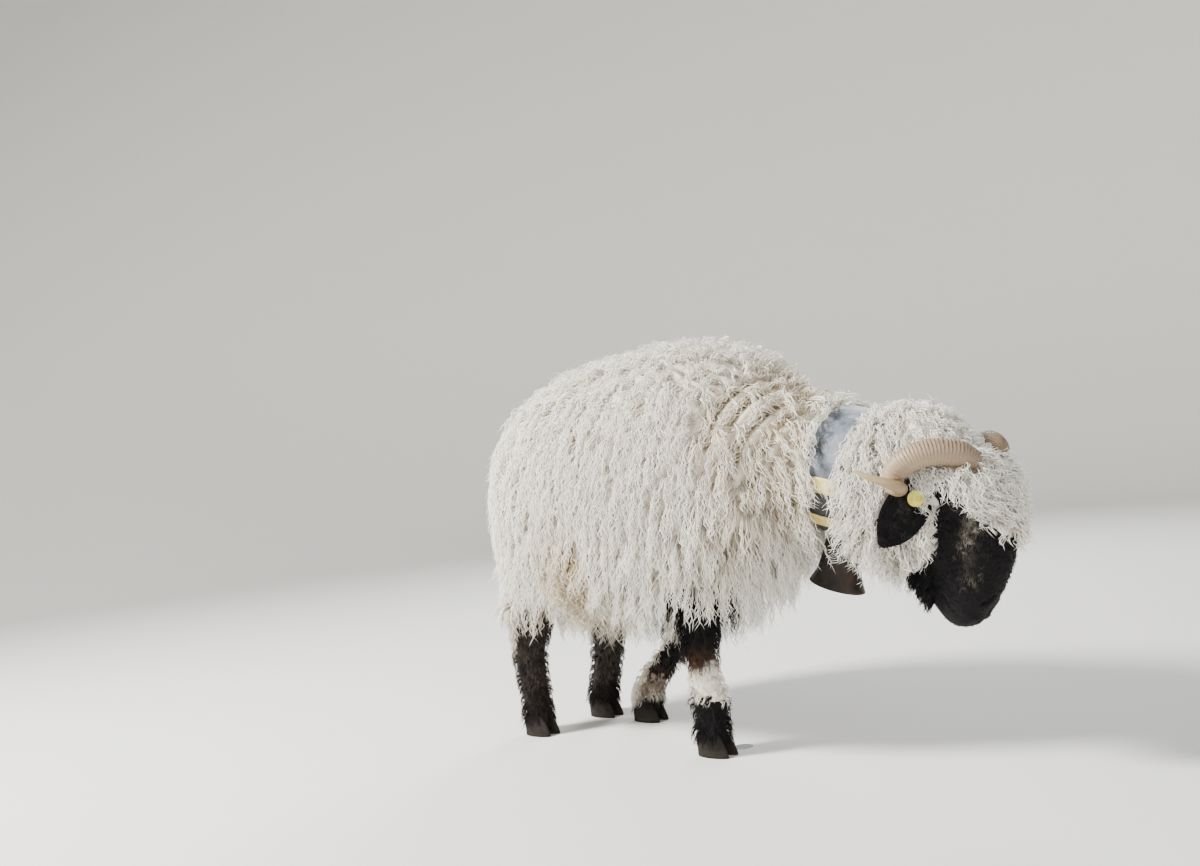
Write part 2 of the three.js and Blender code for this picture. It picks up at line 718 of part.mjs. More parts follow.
// Two discs on one pin through the ear.
function tagForm(sign, grow = 0) {
  const lead = earLead(sign);
  const turn = new THREE.Quaternion().setFromUnitVectors(new THREE.Vector3(0, 1, 0), lead);
  const at = mirrored(EAR.base, sign).lerp(mirrored(EAR.tip, sign), TAG.along);
  const thick = TAG.thick + 2 * grow;
  const pieces = [
    [TAG.radius, thick, TAG.reach],
    [3, TAG.reach * 2, 0],
    [TAG.radius * 0.7, thick, -TAG.reach],
  ].map(([radius, height, out]) => {
    const disc = new THREE.CylinderGeometry(radius + grow, radius + grow, height, radius > 5 ? 16 : 8);
    disc.applyQuaternion(turn);
    const place = at.clone().addScaledVector(lead, out);
    disc.translate(place.x, place.y, place.z);
    return solidOf(disc);
  });
  return fused(pieces);
}

function head() {
  const form = { rings: headRings(COAT.head), axis: DOWN, lead: AHEAD, power: 2.2, egg: 0 };
  const skull = loft(form.rings, SIDES.head, AHEAD, form);
  let body = fused([skull, ...LIPS.map(lip), ...headLocks(form)]);
  body = body.subtract(beyond(headCut.clone().add(new THREE.Vector3(GAP, 0, 0)), AHEAD.clone().negate()));
  body = body.subtract(mouthLine());
  Object.entries(FLANKS).forEach(([side, sign]) => {
    const eyeAt = mirrored(EYE_AT, sign);
    body = body.add(ball(eyeAt, EYE_RADIUS + LID.over));
    body = body.subtract(ball(eyeAt, EYE_RADIUS + GAP)).subtract(lidOpening(sign));
    body = body.subtract(nostril(sign)).subtract(hornRoom(side, sign));
    body = body.subtract(earForm(sign, GAP));
    if (sign < 0) body = body.subtract(tagForm(sign, GAP));
  });
  return largest(body);
}

function eye(sign) {
  return ball(mirrored(EYE_AT, sign), EYE_RADIUS);
}

function ear(side, sign) {
  let body = earForm(sign).subtract(earCup(sign));
  if (sign < 0) body = body.subtract(tagForm(sign, GAP));
  return largest(body.subtract(hornRoom(side, sign)));
}

// Turns a shape drawn upright under its top point so that it leans with the bell.
function hung(geometry) {
  geometry.rotateX(Math.PI / 2);
  geometry.scale(1, BELL.flat, 1);
  geometry.rotateY(BELL.lean);
  geometry.translate(...BELL.top);
  return solidOf(geometry);
}

function bell() {
  const { height, mouth, crown, wall } = BELL;
  const waist = crown + 4;
  const profile = [
    [0, 0],
    [crown * 0.7, 0],
    [crown, -8],
    [waist, -height * 0.55],
    [mouth, -height],
    [mouth - wall, -height],
    [waist - wall, -height * 0.55],
    [crown - wall, -8 - wall],
    [crown * 0.7 - wall, -wall],
    [0, -wall],
  ];
  const shell = new THREE.LatheGeometry(profile.map(([r, z]) => new THREE.Vector2(r, z)), SIDES.bell);
  const staple = new THREE.BoxGeometry(38, 26, 12);
  staple.translate(0, 12, 0);
  const { width, half, tall, thick } = COLLAR;
  const round = neckRing(width + 30, -60, half + thick + GAP, tall + thick + GAP);
  return largest(hung(shell).add(hung(staple).subtract(round)));
}

function clapper() {
  const { rod, ball: end, drop } = CLAPPER;
  const stem = new THREE.CylinderGeometry(rod, rod, drop, 8);
  stem.translate(0, -drop / 2 - BELL.wall - GAP, 0);
  const weight = new THREE.SphereGeometry(end, 10, 7);
  weight.translate(0, -drop, 0);
  return hung(stem).add(hung(weight));
}

// A curved plate over the strap, at one height on one side of the neck.
function band(height, sign) {
  const { width, half, tall, thick } = COLLAR;
  const ring = neckRing(width + 2 * BANDS.over, BANDS.thick, half + thick + GAP, tall + thick + GAP);
  const window = new THREE.BoxGeometry(300, 140, BANDS.tall);
  window.translate(COLLAR.x, sign * 110, height);
  return largest(ring.intersect(solidOf(window)));
}

const COLOURS = {
  fleece: 0xe8e0cf,
  black: 0x171413,
  grey: 0x5d5650,
  horn: 0xb99f7c,
  hoof: 0x2a2623,
  eye: 0x120d08,
  leather: 0x2c3037,
  band: 0xc9b35a,
  steel: 0x26211d,
  tag: 0xd8c93a,
};
const FINISH = { horn: 0.5, hoof: 0.55, eye: 0.1, leather: 0.7, band: 0.5, steel: 0.5, tag: 0.4 };

function meshOf(name, solid, look) {
  const made = solid.getMesh();
  const place = new Float32Array(made.numVert * 3);
  for (let i = 0; i < made.numVert; i++) {
    place.set(made.vertProperties.subarray(i * made.numProp, i * made.numProp + 3), i * 3);
  }
  const geometry = new THREE.BufferGeometry();
  geometry.setAttribute("position", new THREE.BufferAttribute(place, 3));
  geometry.setIndex(new THREE.BufferAttribute(new Uint32Array(made.triVerts), 1));
  const material = new THREE.MeshStandardMaterial({
    color: COLOURS[look],
    roughness: FINISH[look] ?? 0.9,
    metalness: look === "steel" ? 0.8 : 0,
  });
  const mesh = new THREE.Mesh(geometry, material);
  mesh.name = name;
  return mesh;
}

const sheep = new THREE.Group();
const put = (name, solid, look) => sheep.add(meshOf(name, solid, look));
put("torso", torso(), "fleece");
put("neck", neck(), "fleece");
put("head", head(), "black");
put("tail", tail(), "fleece");
Object.keys(LEGS).forEach((name, k) => {
  put("leg_" + name, leg(name, 31 + k), "grey");
  put("hoof_" + name, hoof(name), "hoof");
});
for (const [side, sign] of Object.entries(FLANKS)) {
  put("eye_" + side, eye(sign), "eye");
  put("ear_" + side, ear(side, sign), "black");
  put("horn_" + side, horn(side, sign), "horn");
}
put("ear_tag", tagForm(-1), "tag");
const { width, thick, half, tall } = COLLAR;
put("collar_strap", neckRing(width, thick, half, tall), "leather");
for (const [side, sign] of Object.entries(FLANKS)) {
  put("collar_band_upper_" + side, band(BANDS.upper, sign), "band");
  put("collar_band_lower_" + side, band(BANDS.lower, sign), "band");
}
put("bell", bell(), "steel");
put("bell_clapper", clapper(), "steel");

// The origin is the middle of the whole box, on the floor.
const box = new THREE.Box3().setFromObject(sheep);
const middle = box.getCenter(new THREE.Vector3());
sheep.position.set(-middle.x, -middle.y, -box.min.z);

export default sheep;
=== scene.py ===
# Adult Valais blacknose ewe, life size: skin, wool, horns, hooves, eyes, collar, bell and ear tag.
# Tables are in millimetres. +X is forward, +Y is the animal's left, z = 0 is the floor.
import math

import bpy
import numpy as np
from mathutils import Matrix, Vector
from mathutils.bvhtree import BVHTree


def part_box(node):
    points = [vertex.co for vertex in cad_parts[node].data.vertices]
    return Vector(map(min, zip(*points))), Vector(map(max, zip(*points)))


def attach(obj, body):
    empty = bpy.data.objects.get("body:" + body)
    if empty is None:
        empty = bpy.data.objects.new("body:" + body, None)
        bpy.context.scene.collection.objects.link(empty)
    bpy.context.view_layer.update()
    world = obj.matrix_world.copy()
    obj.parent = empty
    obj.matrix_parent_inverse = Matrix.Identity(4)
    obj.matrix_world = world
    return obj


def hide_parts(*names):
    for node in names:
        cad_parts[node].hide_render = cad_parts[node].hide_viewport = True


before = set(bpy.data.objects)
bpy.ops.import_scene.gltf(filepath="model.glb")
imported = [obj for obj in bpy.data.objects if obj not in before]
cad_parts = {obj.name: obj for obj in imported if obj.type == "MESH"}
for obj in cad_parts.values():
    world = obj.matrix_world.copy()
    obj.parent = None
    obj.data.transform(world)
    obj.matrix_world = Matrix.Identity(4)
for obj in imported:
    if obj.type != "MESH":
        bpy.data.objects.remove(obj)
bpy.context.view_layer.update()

# Placing: the tables' origin lies under the trunk, the frame's under its box.
MM = 0.001
EYE_AT = np.array([682.0, 62.0, 472.0])
EYE_RADIUS = 13.5
EYE_LOOKS = np.array([0.42, 0.9, 0.08])
RIGHT_EYE_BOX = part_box("eye_right")
SHIFT = float((RIGHT_EYE_BOX[0][0] + RIGHT_EYE_BOX[1][0]) / 2 - EYE_AT[0] * MM)
FLANKS = (("right", -1), ("left", 1))

# Trunk: x, top, bottom, half width of the fleece's outline.
TRUNK = [
    (-438, 560, 345, 70),
    (-426, 618, 302, 110),
    (-392, 682, 276, 150),
    (-330, 740, 264, 188),
    (-250, 780, 258, 216),
    (-140, 806, 255, 238),
    (-20, 820, 253, 248),
    (90, 827, 249, 249),
    (170, 820, 262, 240),
    (232, 798, 314, 222),
    (282, 768, 364, 204),
    (325, 738, 402, 184),
    (364, 712, 430, 162),
    (412, 682, 446, 136),
]
# Neck: x, top, bottom, half width of the skin, from inside the shoulders to inside the head.
NECK = [
    (330, 668, 440, 96),
    (404, 648, 440, 99),
    (440, 640, 434, 101),
    (492, 630, 424, 101),
    (530, 622, 392, 100),
    (566, 622, 384, 98),
    (590, 618, 402, 86),
    (612, 600, 424, 66),
    (626, 580, 450, 40),
]
# Head: z, front, back, half width of the skull, from the crown to the lips.
HEAD = [
    (632, 622, 566, 30),
    (620, 646, 556, 54),
    (590, 672, 548, 70),
    (560, 696, 544, 78),
    (530, 718, 544, 80),
    (505, 738, 546, 80),
    (480, 752, 548, 77),
    (448, 756, 550, 69),
    (405, 747, 552, 61),
    (370, 738, 557, 55),
    (340, 725, 570, 49),
    (312, 708, 588, 43),
    (290, 694, 602, 38),
    (272, 679, 616, 31),
    (262, 664, 632, 20),
]
# Legs: x, y, z, half depth and half width of the fur's outline, from the body to the hoof.
LEGS = {
    "front_right": [
        (156, -102, 390, 46, 34),
        (148, -99, 320, 44, 36),
        (138, -94, 262, 43, 38),
        (128, -88, 214, 37, 34),
        (125, -77, 165, 35, 34),
        (125, -70, 105, 41, 39),
        (124, -68, 70, 39, 36),
        (121, -66, 30, 35, 31),
    ],
    "front_left": [
        (98, 98, 395, 46, 34),
        (50, 96, 322, 44, 36),
        (-12, 94, 250, 40, 37),
        (-67, 91, 196, 36, 33),
        (-120, 92, 142, 32, 31),
        (-168, 95, 94, 36, 36),
        (-190, 97, 64, 37, 35),
        (-197, 98, 30, 35, 31),
    ],
    "hind_right": [
        (-292, -92, 400, 64, 40),
        (-316, -100, 320, 64, 46),
        (-344, -100, 245, 54, 46),
        (-360, -95, 188, 45, 40),
        (-360, -92, 130, 41, 37),
        (-358, -90, 85, 39, 36),
        (-355, -90, 55, 37, 34),
        (-354, -90, 30, 35, 31),
    ],
    "hind_left": [
        (-232, 94, 400, 64, 40),
        (-252, 100, 320, 62, 45),
        (-280, 103, 245, 52, 46),
        (-297, 98, 188, 44, 40),
        (-306, 95, 130, 40, 37),
        (-318, 94, 85, 39, 36),
        (-327, 94, 57, 37, 34),
        (-330, 94, 30, 35, 31),
    ],
}
SOLES = {
    "front_right": (126, -66),
    "front_left": (-192, 98),
    "hind_right": (-350, -90),
    "hind_left": (-326, 94),
}
HOOF_HEIGHT = 38
# Tail: x, y, z, half depth and half width of the wool's outline.
TAIL = [
    (-382, 0, 664, 26, 36),
    (-410, 0, 618, 29, 40),
    (-428, 0, 560, 28, 42),
    (-436, 0, 495, 25, 39),
    (-438, 0, 440, 19, 30),
    (-437, 0, 406, 9, 16),
]
# How far the skin lies under the coat's outline, and how the rump's skin draws in.
COAT_DEPTH = {"trunk": 34, "leg": 8, "tail": 17}
RUMP = {"reach": 120, "inset": 26}

# Ears, horns, collar, bell and tag: places, sizes and leans in radians.
EAR = {"base": (634, 76, 512), "tip": (588, 152, 418), "faces": (0.7, 0.7, -0.1), "half": 41, "thick": 15}
EAR_OUTLINE = [0.34, 0.72, 0.96, 1.0, 0.94, 0.68, 0.14]
HORN = {"radius": 22, "tip": 2.5, "ridge": 0.9, "flat": 0.94, "ridges": 74}
HORN_LINES = {
    "right": [
        (712, 42, 540),
        (690, 68, 557),
        (660, 94, 562),
        (630, 112, 553),
        (606, 118, 534),
        (604, 121, 515),
        (617, 131, 507),
        (631, 149, 510),
        (618, 167, 520),
        (594, 179, 532),
        (571, 185, 544),
    ],
    "left": [
        (712, 42, 540),
        (692, 68, 560),
        (664, 94, 562),
        (638, 112, 546),
        (620, 128, 522),
        (626, 146, 500),
        (642, 162, 502),
        (648, 172, 524),
    ],
}
COLLAR = {"x": 464, "z": 533, "lean": 0.236, "width": 76, "thick": 5, "half": 112, "tall": 113}
BANDS = {"upper": 514, "lower": 455, "tall": 28, "thick": 3, "over": 9}
BELL = {"top": (424, 0, 410), "lean": 0.3, "height": 88, "mouth": 55, "crown": 36, "flat": 0.74, "wall": 2.5}
CLAPPER = {"rod": 3.5, "ball": 10, "drop": 90}
TAG = {"along": 0.24, "radius": 14, "thick": 2.4, "reach": 12, "edge": 0.9, "back": 0.7}

AHEAD = np.array([1.0, 0.0, 0.0])
LEFT = np.array([0.0, 1.0, 0.0])
UP = np.array([0.0, 0.0, 1.0])
DOWN = -UP
COLLAR_CENTRE = np.array([COLLAR["x"], 0, COLLAR["z"]])
COLLAR_AXIS = np.array([math.cos(COLLAR["lean"]), 0, -math.sin(COLLAR["lean"])])
COLLAR_RISE = np.cross(COLLAR_AXIS, LEFT)

# Where the body ends, and where the neck and the head begin, in x.
BODY_TO = 420
NECK_FROM = 380
HEAD_FROM = 520

# How finely each form is drawn: rings along it and sides round it.
RINGS = {"trunk": 40, "neck": 20, "head": 44, "limb": 26, "ear": 30, "horn": 420, "eye": 36, "band": 36}
SIDES = {"trunk": 56, "neck": 48, "head": 48, "limb": 28, "ear": 28, "horn": 32, "eye": 40, "lid": 48}
SIDES.update({"claw": 36, "strap": 160, "bell": 72, "clapper": 28, "tag": 48, "floor": 96})
STAPLE = {"radius": 17, "rise": 15, "sink": 2, "thick": 3.2, "wide": 5.5, "rings": 40, "sides": 14}
# Skin: size of a voxel in millimetres and rounds of smoothing.
BODY_MESH = (5, 3)
HEAD_MESH = (2.2, 4)
LEAST = 1e-9


# Small vector helpers
def unit(v):
    v = np.asarray(v, dtype=float)
    return v / np.maximum(np.linalg.norm(v, axis=-1, keepdims=True), LEAST)


def smoothstep(low, high, x):
    t = np.clip((x - low) / (high - low), 0.0, 1.0)
    return t * t * (3 - 2 * t)


def mirrored(point, sign):
    return np.array([point[0], point[1] * sign, point[2]], dtype=float)


def turns(count):
    """Angles spread evenly round a full circle."""
    return np.linspace(0, 2 * math.pi, count, endpoint=False)


def spline(points, count):
    """Points on a smooth curve through the given rows, evenly spread by row."""
    rows = np.asarray(points, dtype=float)
    padded = np.vstack([2 * rows[0] - rows[1], rows, 2 * rows[-1] - rows[-2]])
    place = np.linspace(0, len(rows) - 1, count)
    k = np.minimum(place.astype(int), len(rows) - 2)
    t = (place - k)[:, None]
    a, b, c, d = padded[k], padded[k + 1], padded[k + 2], padded[k + 3]
    return 0.5 * (2 * b + (c - a) * t + (2 * a - 5 * b + 4 * c - d) * t**2 + (3 * b - a - 3 * c + d) * t**3)


# Mesh helpers
def new_object(name, data):
    made = bpy.data.objects.new(name, data)
    bpy.context.collection.objects.link(made)
    return made


def mesh_object(name, verts, faces):
    mesh = bpy.data.meshes.new(name)
    mesh.from_pydata([tuple(v) for v in verts], [], [tuple(f) for f in faces])
    mesh.validate()
    mesh.shade_smooth()
    return new_object(name, mesh)


def merged(parts):
    """Several (verts, faces) pairs as one."""
    verts, faces, start = [], [], 0
    for points, polygons in parts:
        verts.append(np.asarray(points))
        faces += [tuple(i + start for i in f) for f in polygons]
        start += len(points)
    return np.vstack(verts), faces


def skinned(rows, closed_ends=True):
    """Quads between rings of points (rings, sides, 3), with a fan on each end."""
    rings, sides, _ = rows.shape
    verts = rows.reshape(-1, 3)
    faces = []
    for i in range(rings - 1):
        for j in range(sides):
            k = (j + 1) % sides
            faces.append((i * sides + j, i * sides + k, (i + 1) * sides + k, (i + 1) * sides + j))
    if closed_ends:
        verts = np.vstack([verts, rows[0].mean(0), rows[-1].mean(0)])
        first, last = len(verts) - 2, len(verts) - 1
        base = (rings - 1) * sides
        for j in range(sides):
            k = (j + 1) % sides
            faces.append((first, k, j))
            faces.append((last, base + j, base + k))
    return verts, faces


def loft(at, long, wide, sides, lead, axis=None, power=2.0, egg=0.0):
    """A tapered form through rings: long runs along lead, wide across it."""
    at = np.asarray(at, dtype=float)
    along = np.tile(axis, (len(at), 1)) if axis is not None else unit(np.gradient(at, axis=0))
    lead = np.asarray(lead, dtype=float)
    up = unit(lead - along * (along @ lead)[:, None])
    side = np.cross(up, along)
    c, s = np.cos(turns(sides)), np.sin(turns(sides))
    across = np.sign(c) * np.abs(c) ** (2 / power) * (1 - egg * s)
    rise = np.sign(s) * np.abs(s) ** (2 / power)
    rows = (
        at[:, None, :]
        + side[:, None, :] * (across[None, :, None] * np.asarray(wide)[:, None, None])
        + up[:, None, :] * (rise[None, :, None] * np.asarray(long)[:, None, None])
    )
    return skinned(rows)


def lengthwise(table, inset, count):
    """Rings along x from rows of x, top, bottom and half width."""
    x, top, bottom, half = spline(table, count).T
    at = np.column_stack([x, np.zeros(count), (top + bottom) / 2])
    return at, (top - bottom) / 2 - inset, half - inset


def read_mesh(mesh):
    """Places and normals of a mesh's points."""
    values = []
    for field in ("co", "normal"):
        row = np.empty(len(mesh.vertices) * 3)
        mesh.vertices.foreach_get(field, row)
        values.append(row.reshape(-1, 3))
    return values


def write_mesh(mesh, places):
    mesh.vertices.foreach_set("co", np.ascontiguousarray(places, dtype=np.float32).ravel())
    mesh.update()


def point_values(mesh, name, values, kind="FLOAT"):
    """Keeps a number, or a colour, for each point of a mesh."""
    field = "value" if kind == "FLOAT" else "color"
    made = mesh.attributes.new(name, kind, "POINT")
    made.data.foreach_set(field, np.asarray(values).astype(np.float32).ravel())


def remeshed(name, parts, voxel, smoothing):
    """One closed surface round overlapping closed forms, evened out."""
    verts, faces = merged(parts)
    thing = mesh_object(name, verts * MM, faces)
    remesh = thing.modifiers.new("remesh", "REMESH")
    remesh.mode = "VOXEL"
    remesh.voxel_size = voxel * MM
    even = thing.modifiers.new("smooth", "SMOOTH")
    even.factor = 0.6
    even.iterations = smoothing
    applied(thing)
    return thing


def applied(thing):
    deps = bpy.context.evaluated_depsgraph_get()
    mesh = bpy.data.meshes.new_from_object(thing.evaluated_get(deps))
    thing.modifiers.clear()
    thing.data = mesh
    mesh.shade_smooth()
    return thing


# The skin's forms
def trunk_form():
    at, long, wide = lengthwise(TRUNK, COAT_DEPTH["trunk"], RINGS["trunk"])
    near_rump = np.clip(1 - (at[:, 0] - at[0, 0]) / RUMP["reach"], 0, 1)
    at[:, 0] += RUMP["inset"] * near_rump
    return loft(at, long, wide, SIDES["trunk"], UP, axis=AHEAD, power=2.25, egg=0.06)


def neck_form():
    at, long, wide = lengthwise(NECK, 0, RINGS["neck"])
    return loft(at, long, wide, SIDES["neck"], UP, axis=AHEAD, power=2.1)


def head_form():
    z, front, back, half = spline(HEAD, RINGS["head"]).T
    at = np.column_stack([(front + back) / 2, np.zeros(len(z)), z])
    return loft(at, (front - back) / 2, half, SIDES["head"], AHEAD, axis=DOWN, power=2.2)


def limb_form(table, inset):
    rows = spline(table, RINGS["limb"])
    return loft(rows[:, :3], rows[:, 3] - inset, rows[:, 4] - inset, SIDES["limb"], AHEAD)


def ear_frame(sign):
    """The ear's base and tip, and the way its opening faces."""
    return mirrored(EAR["base"], sign), mirrored(EAR["tip"], sign), unit(mirrored(EAR["faces"], sign))


def ear_form(sign):
    """A cupped leaf: outer and inner sheets joined at the rim."""
    base, tip, lead = ear_frame(sign)
    side = np.cross(lead, unit(tip - base))
    sizes = spline([[size] for size in EAR_OUTLINE], RINGS["ear"])[:, 0]
    rows = []
    for t, size in zip(np.linspace(-0.08, 1.02, RINGS["ear"]), sizes):
        half = EAR["half"] * size
        cup = EAR["thick"] * 0.62 * size * (1 - 0.55 * t)
        sheet = 2.4 * (0.5 + size)
        ring = []
        for turn in turns(SIDES["ear"]):
            across = math.cos(turn)
            lift = cup * (across**2 * 1.5 - 0.9) + math.sin(turn) * sheet * (1 - across**2 * 0.6)
            curl = 0.1 * half * math.sin(6 * t) * across
            ring.append(base + (tip - base) * t + side * (half * across * 0.96 + curl * 0.2) + lead * lift)
        rows.append(ring)
    return skinned(np.array(rows))


def bump(places, normals, centre, radius, height):
    """Raises or sinks a soft round place along the normals, on both sides of the head."""
    for sign in (-1, 1):
        away = (places - mirrored(centre, sign) * MM) / (np.asarray(radius) * MM)
        weight = np.exp(-np.sum(away**2, axis=1))
        places = places + normals * (weight * height * MM)[:, None]
        if centre[1] == 0:
            break
    return places


def line_distance(places, points):
    """Distance in metres from each place to a line through points given in millimetres."""
    best = np.full(len(places), 1e9)
    for a, b in zip(points[:-1], points[1:]):
        a, b = np.asarray(a) * MM, np.asarray(b) * MM
        t = np.clip((places - a) @ (b - a) / max((b - a) @ (b - a), 1e-12), 0, 1)
        best = np.minimum(best, np.linalg.norm(places - (a + t[:, None] * (b - a)), axis=1))
    return best


def middle_gap(places, table):
    """Distance from each place to the middle line of a limb, in millimetres."""
    return line_distance(places, [row[:3] for row in table]) / MM


def side_distance(places, line):
    """Distance from each place to a line drawn on the side view, in metres."""
    side = np.column_stack([places[:, 0], np.zeros(len(places)), places[:, 2]])
    return line_distance(side, [(x, 0, z) for x, z in line])


# Swellings and hollows of the face: centre, radii, height.
FACE_SHAPES = [
    ((690, 58, 500), (26, 20, 12), 6),
    ((664, 66, 452), (26, 20, 22), -4),
    ((712, 50, 450), (22, 18, 26), -5),
    ((752, 0, 440), (18, 22, 60), 3),
    ((610, 58, 410), (40, 20, 40), 5),
    ((668, 52, 372), (40, 14, 40), -5),
    ((700, 0, 322), (16, 30, 18), 2),
    ((700, 26, 300), (14, 12, 16), 4),
    ((690, 0, 284), (10, 6, 20), -3),
    ((662, 22, 276), (18, 16, 12), 3),
    ((636, 14, 284), (14, 16, 12), 3),
]
NOSTRIL_LINE = [(709, 14, 312), (703, 22, 306), (694, 27, 303)]
MOUTH_LINE = [(676, 0, 266), (668, 20, 270), (656, 30, 282), (640, 38, 300), (628, 42, 318)]
LIP_RIDGE = [(684, 10, 274), (672, 27, 278), (660, 36, 290)]
# Lines drawn on the face: line, width, height.
FACE_LINES = ((MOUTH_LINE, 3.0, -4.5), (LIP_RIDGE, 5.0, 1.5), (NOSTRIL_LINE, 3.6, -9.0))


def sculpt_head(head):
    places, normals = read_mesh(head.data)
    for centre, radius, height in FACE_SHAPES:
        places = bump(places, normals, centre, radius, height)
    folded = np.column_stack([places[:, 0], np.abs(places[:, 1]), places[:, 2]])
    for line, width, height in FACE_LINES:
        far = line_distance(folded, line)
        places = places + normals * (height * MM * np.exp(-((far / (width * MM)) ** 2)))[:, None]
    write_mesh(head.data, places)


# Wrinkles of the shoulder: each a line over the side, in x and z.
FOLDS = [
    [(400, 668), (378, 640), (352, 588), (330, 520)],
    [(372, 690), (345, 655), (318, 610), (300, 560)],
    [(330, 712), (306, 672), (288, 628)],
    [(402, 600), (380, 560), (360, 500)],
    [(290, 716), (268, 668), (258, 610)],
]
# The flank's hollow, and the middle of its yellow curls.
FLANK_LINE = [(-58, 450), (-66, 405), (-76, 350), (-90, 300)]
CURLS_AT = (-105, 372)


def fold_profile(places, line, gap):
    return np.exp(-((side_distance(places, line) / (gap * MM)) ** 2))


def creases(places, gap):
    """How near each place is to a wrinkle of the shoulder, from 0 to 1."""
    return np.max([fold_profile(places, line, gap) for line in FOLDS], axis=0)


def on_body(x, z):
    return (x < BODY_TO) & (z > 230)


def sculpt_body(body):
    places, normals = read_mesh(body.data)
    flank = np.abs(normals[:, 1]) > 0.25
    move = np.zeros(len(places))
    for line in FOLDS:
        move -= 20 * fold_profile(places, line, 13) * flank
        move += 9 * fold_profile(places, line, 27) * flank
    move -= 14 * fold_profile(places, FLANK_LINE, 22) * flank
    write_mesh(body.data, places + normals * (move * MM)[:, None])


# Eyelids: rings round the opening, from the eyeball out under the skin.
LID_RINGS = [(0.98, 13.2), (1.0, 14.9), (1.16, 15.8), (1.5, 15.9), (2.0, 14.6), (2.5, 11.5)]
LID_LIMIT = 1.3


def lid_form(sign):
    looks = unit(mirrored(EYE_LOOKS, sign))
    ahead = unit(np.cross(looks, UP)) * sign * -1
    rise = unit(np.cross(ahead, looks)) * sign
    rise = rise if rise[2] > 0 else -rise
    centre = mirrored(EYE_AT, sign)
    rows = []
    for scale, radius in LID_RINGS:
        ring = []
        for turn in turns(SIDES["lid"]):
            a = 0.92 * math.cos(turn) * scale
            top = 0.52 if math.sin(turn) > 0 else 0.4
            b = top * math.sin(turn) * abs(math.sin(turn)) ** 0.25 * scale
            b += 0.1 * math.cos(turn) * scale
            a, b = [math.tan(min(max(angle, -LID_LIMIT), LID_LIMIT)) for angle in (a, b)]
            direction = looks + ahead * a + rise * b
            ring.append(centre + unit(direction) * radius)
        rows.append(ring)
    return skinned(np.array(rows), closed_ends=False)


def make_skin():
    forms = [trunk_form(), neck_form(), limb_form(TAIL, COAT_DEPTH["tail"])]
    forms += [limb_form(table, COAT_DEPTH["leg"]) for table in LEGS.values()]
    body = remeshed("skin", forms, *BODY_MESH)
    sculpt_body(body)
    head = remeshed("skull", [head_form()], *HEAD_MESH)
    sculpt_head(head)
    loose = [ear_form(sign) for _, sign in FLANKS] + [lid_form(sign) for _, sign in FLANKS]
    verts, faces = merged(loose)
    trims = mesh_object("trims", verts * MM, faces)
    ears = np.arange(len(verts)) < 2 * len(loose[0][0])
    for thing, flags in ((body, False), (head, False), (trims, ears)):
        point_values(thing.data, "on_ear", np.zeros(len(thing.data.vertices)) + flags)
    join_into(body, [head, trims])
    return body


def ear_flags(skin):
    flags = np.empty(len(skin.data.vertices), dtype=np.float32)
    skin.data.attributes["on_ear"].data.foreach_get("value", flags)
    return flags


def join_into(target, others):
    bpy.ops.object.select_all(action="DESELECT")
    for thing in others + [target]:
        thing.select_set(True)
    bpy.context.view_layer.objects.active = target
    bpy.ops.object.join()


# Markings: dark wool, yellow wool with painted shade in the shoulder's wrinkles, grey flecks with painted
# light on the cheek and painted sheen on the ears, and rust, the same for skin and coat.
# The black of the face: its rear edge as heights and x, and its upper edge as x and heights.
FACE_BACK = (
    [250, 340, 352, 362, 372, 388, 405, 430, 457, 479, 500, 522, 560],
    [500, 528, 548, 572, 600, 618, 632, 637, 638, 654, 650, 642, 640],
)
FACE_TOP = (
    [560, 600, 640, 662, 684, 700, 712, 735, 748, 790],
    [474, 484, 500, 512, 505, 480, 464, 430, 412, 404],
)
# Grey flecks of the cheek below the eye, partly grey fuzzy hair and partly painted light where the sun
# catches that side of the face, in x and z; and how high each leg's markings are drawn, on the near foreleg
# up into the armpit.
GREY_LIT_LINE = [(706, 430), (692, 396), (676, 352)]
LEG_MARKS_TOP = {"front_right": 340, "front_left": 300, "hind_right": 300, "hind_left": 300}


def mottle(places, size):
    """Smooth blotches of about the given size, from 0 to 1."""
    dice = np.random.default_rng(7)
    total = np.zeros(len(places))
    for _ in range(7):
        total += np.sin(places / MM @ (dice.normal(0, 2.2, 3) / size) + dice.random() * 2 * math.pi)
    return 0.5 + 0.5 * np.tanh(total / 1.7)


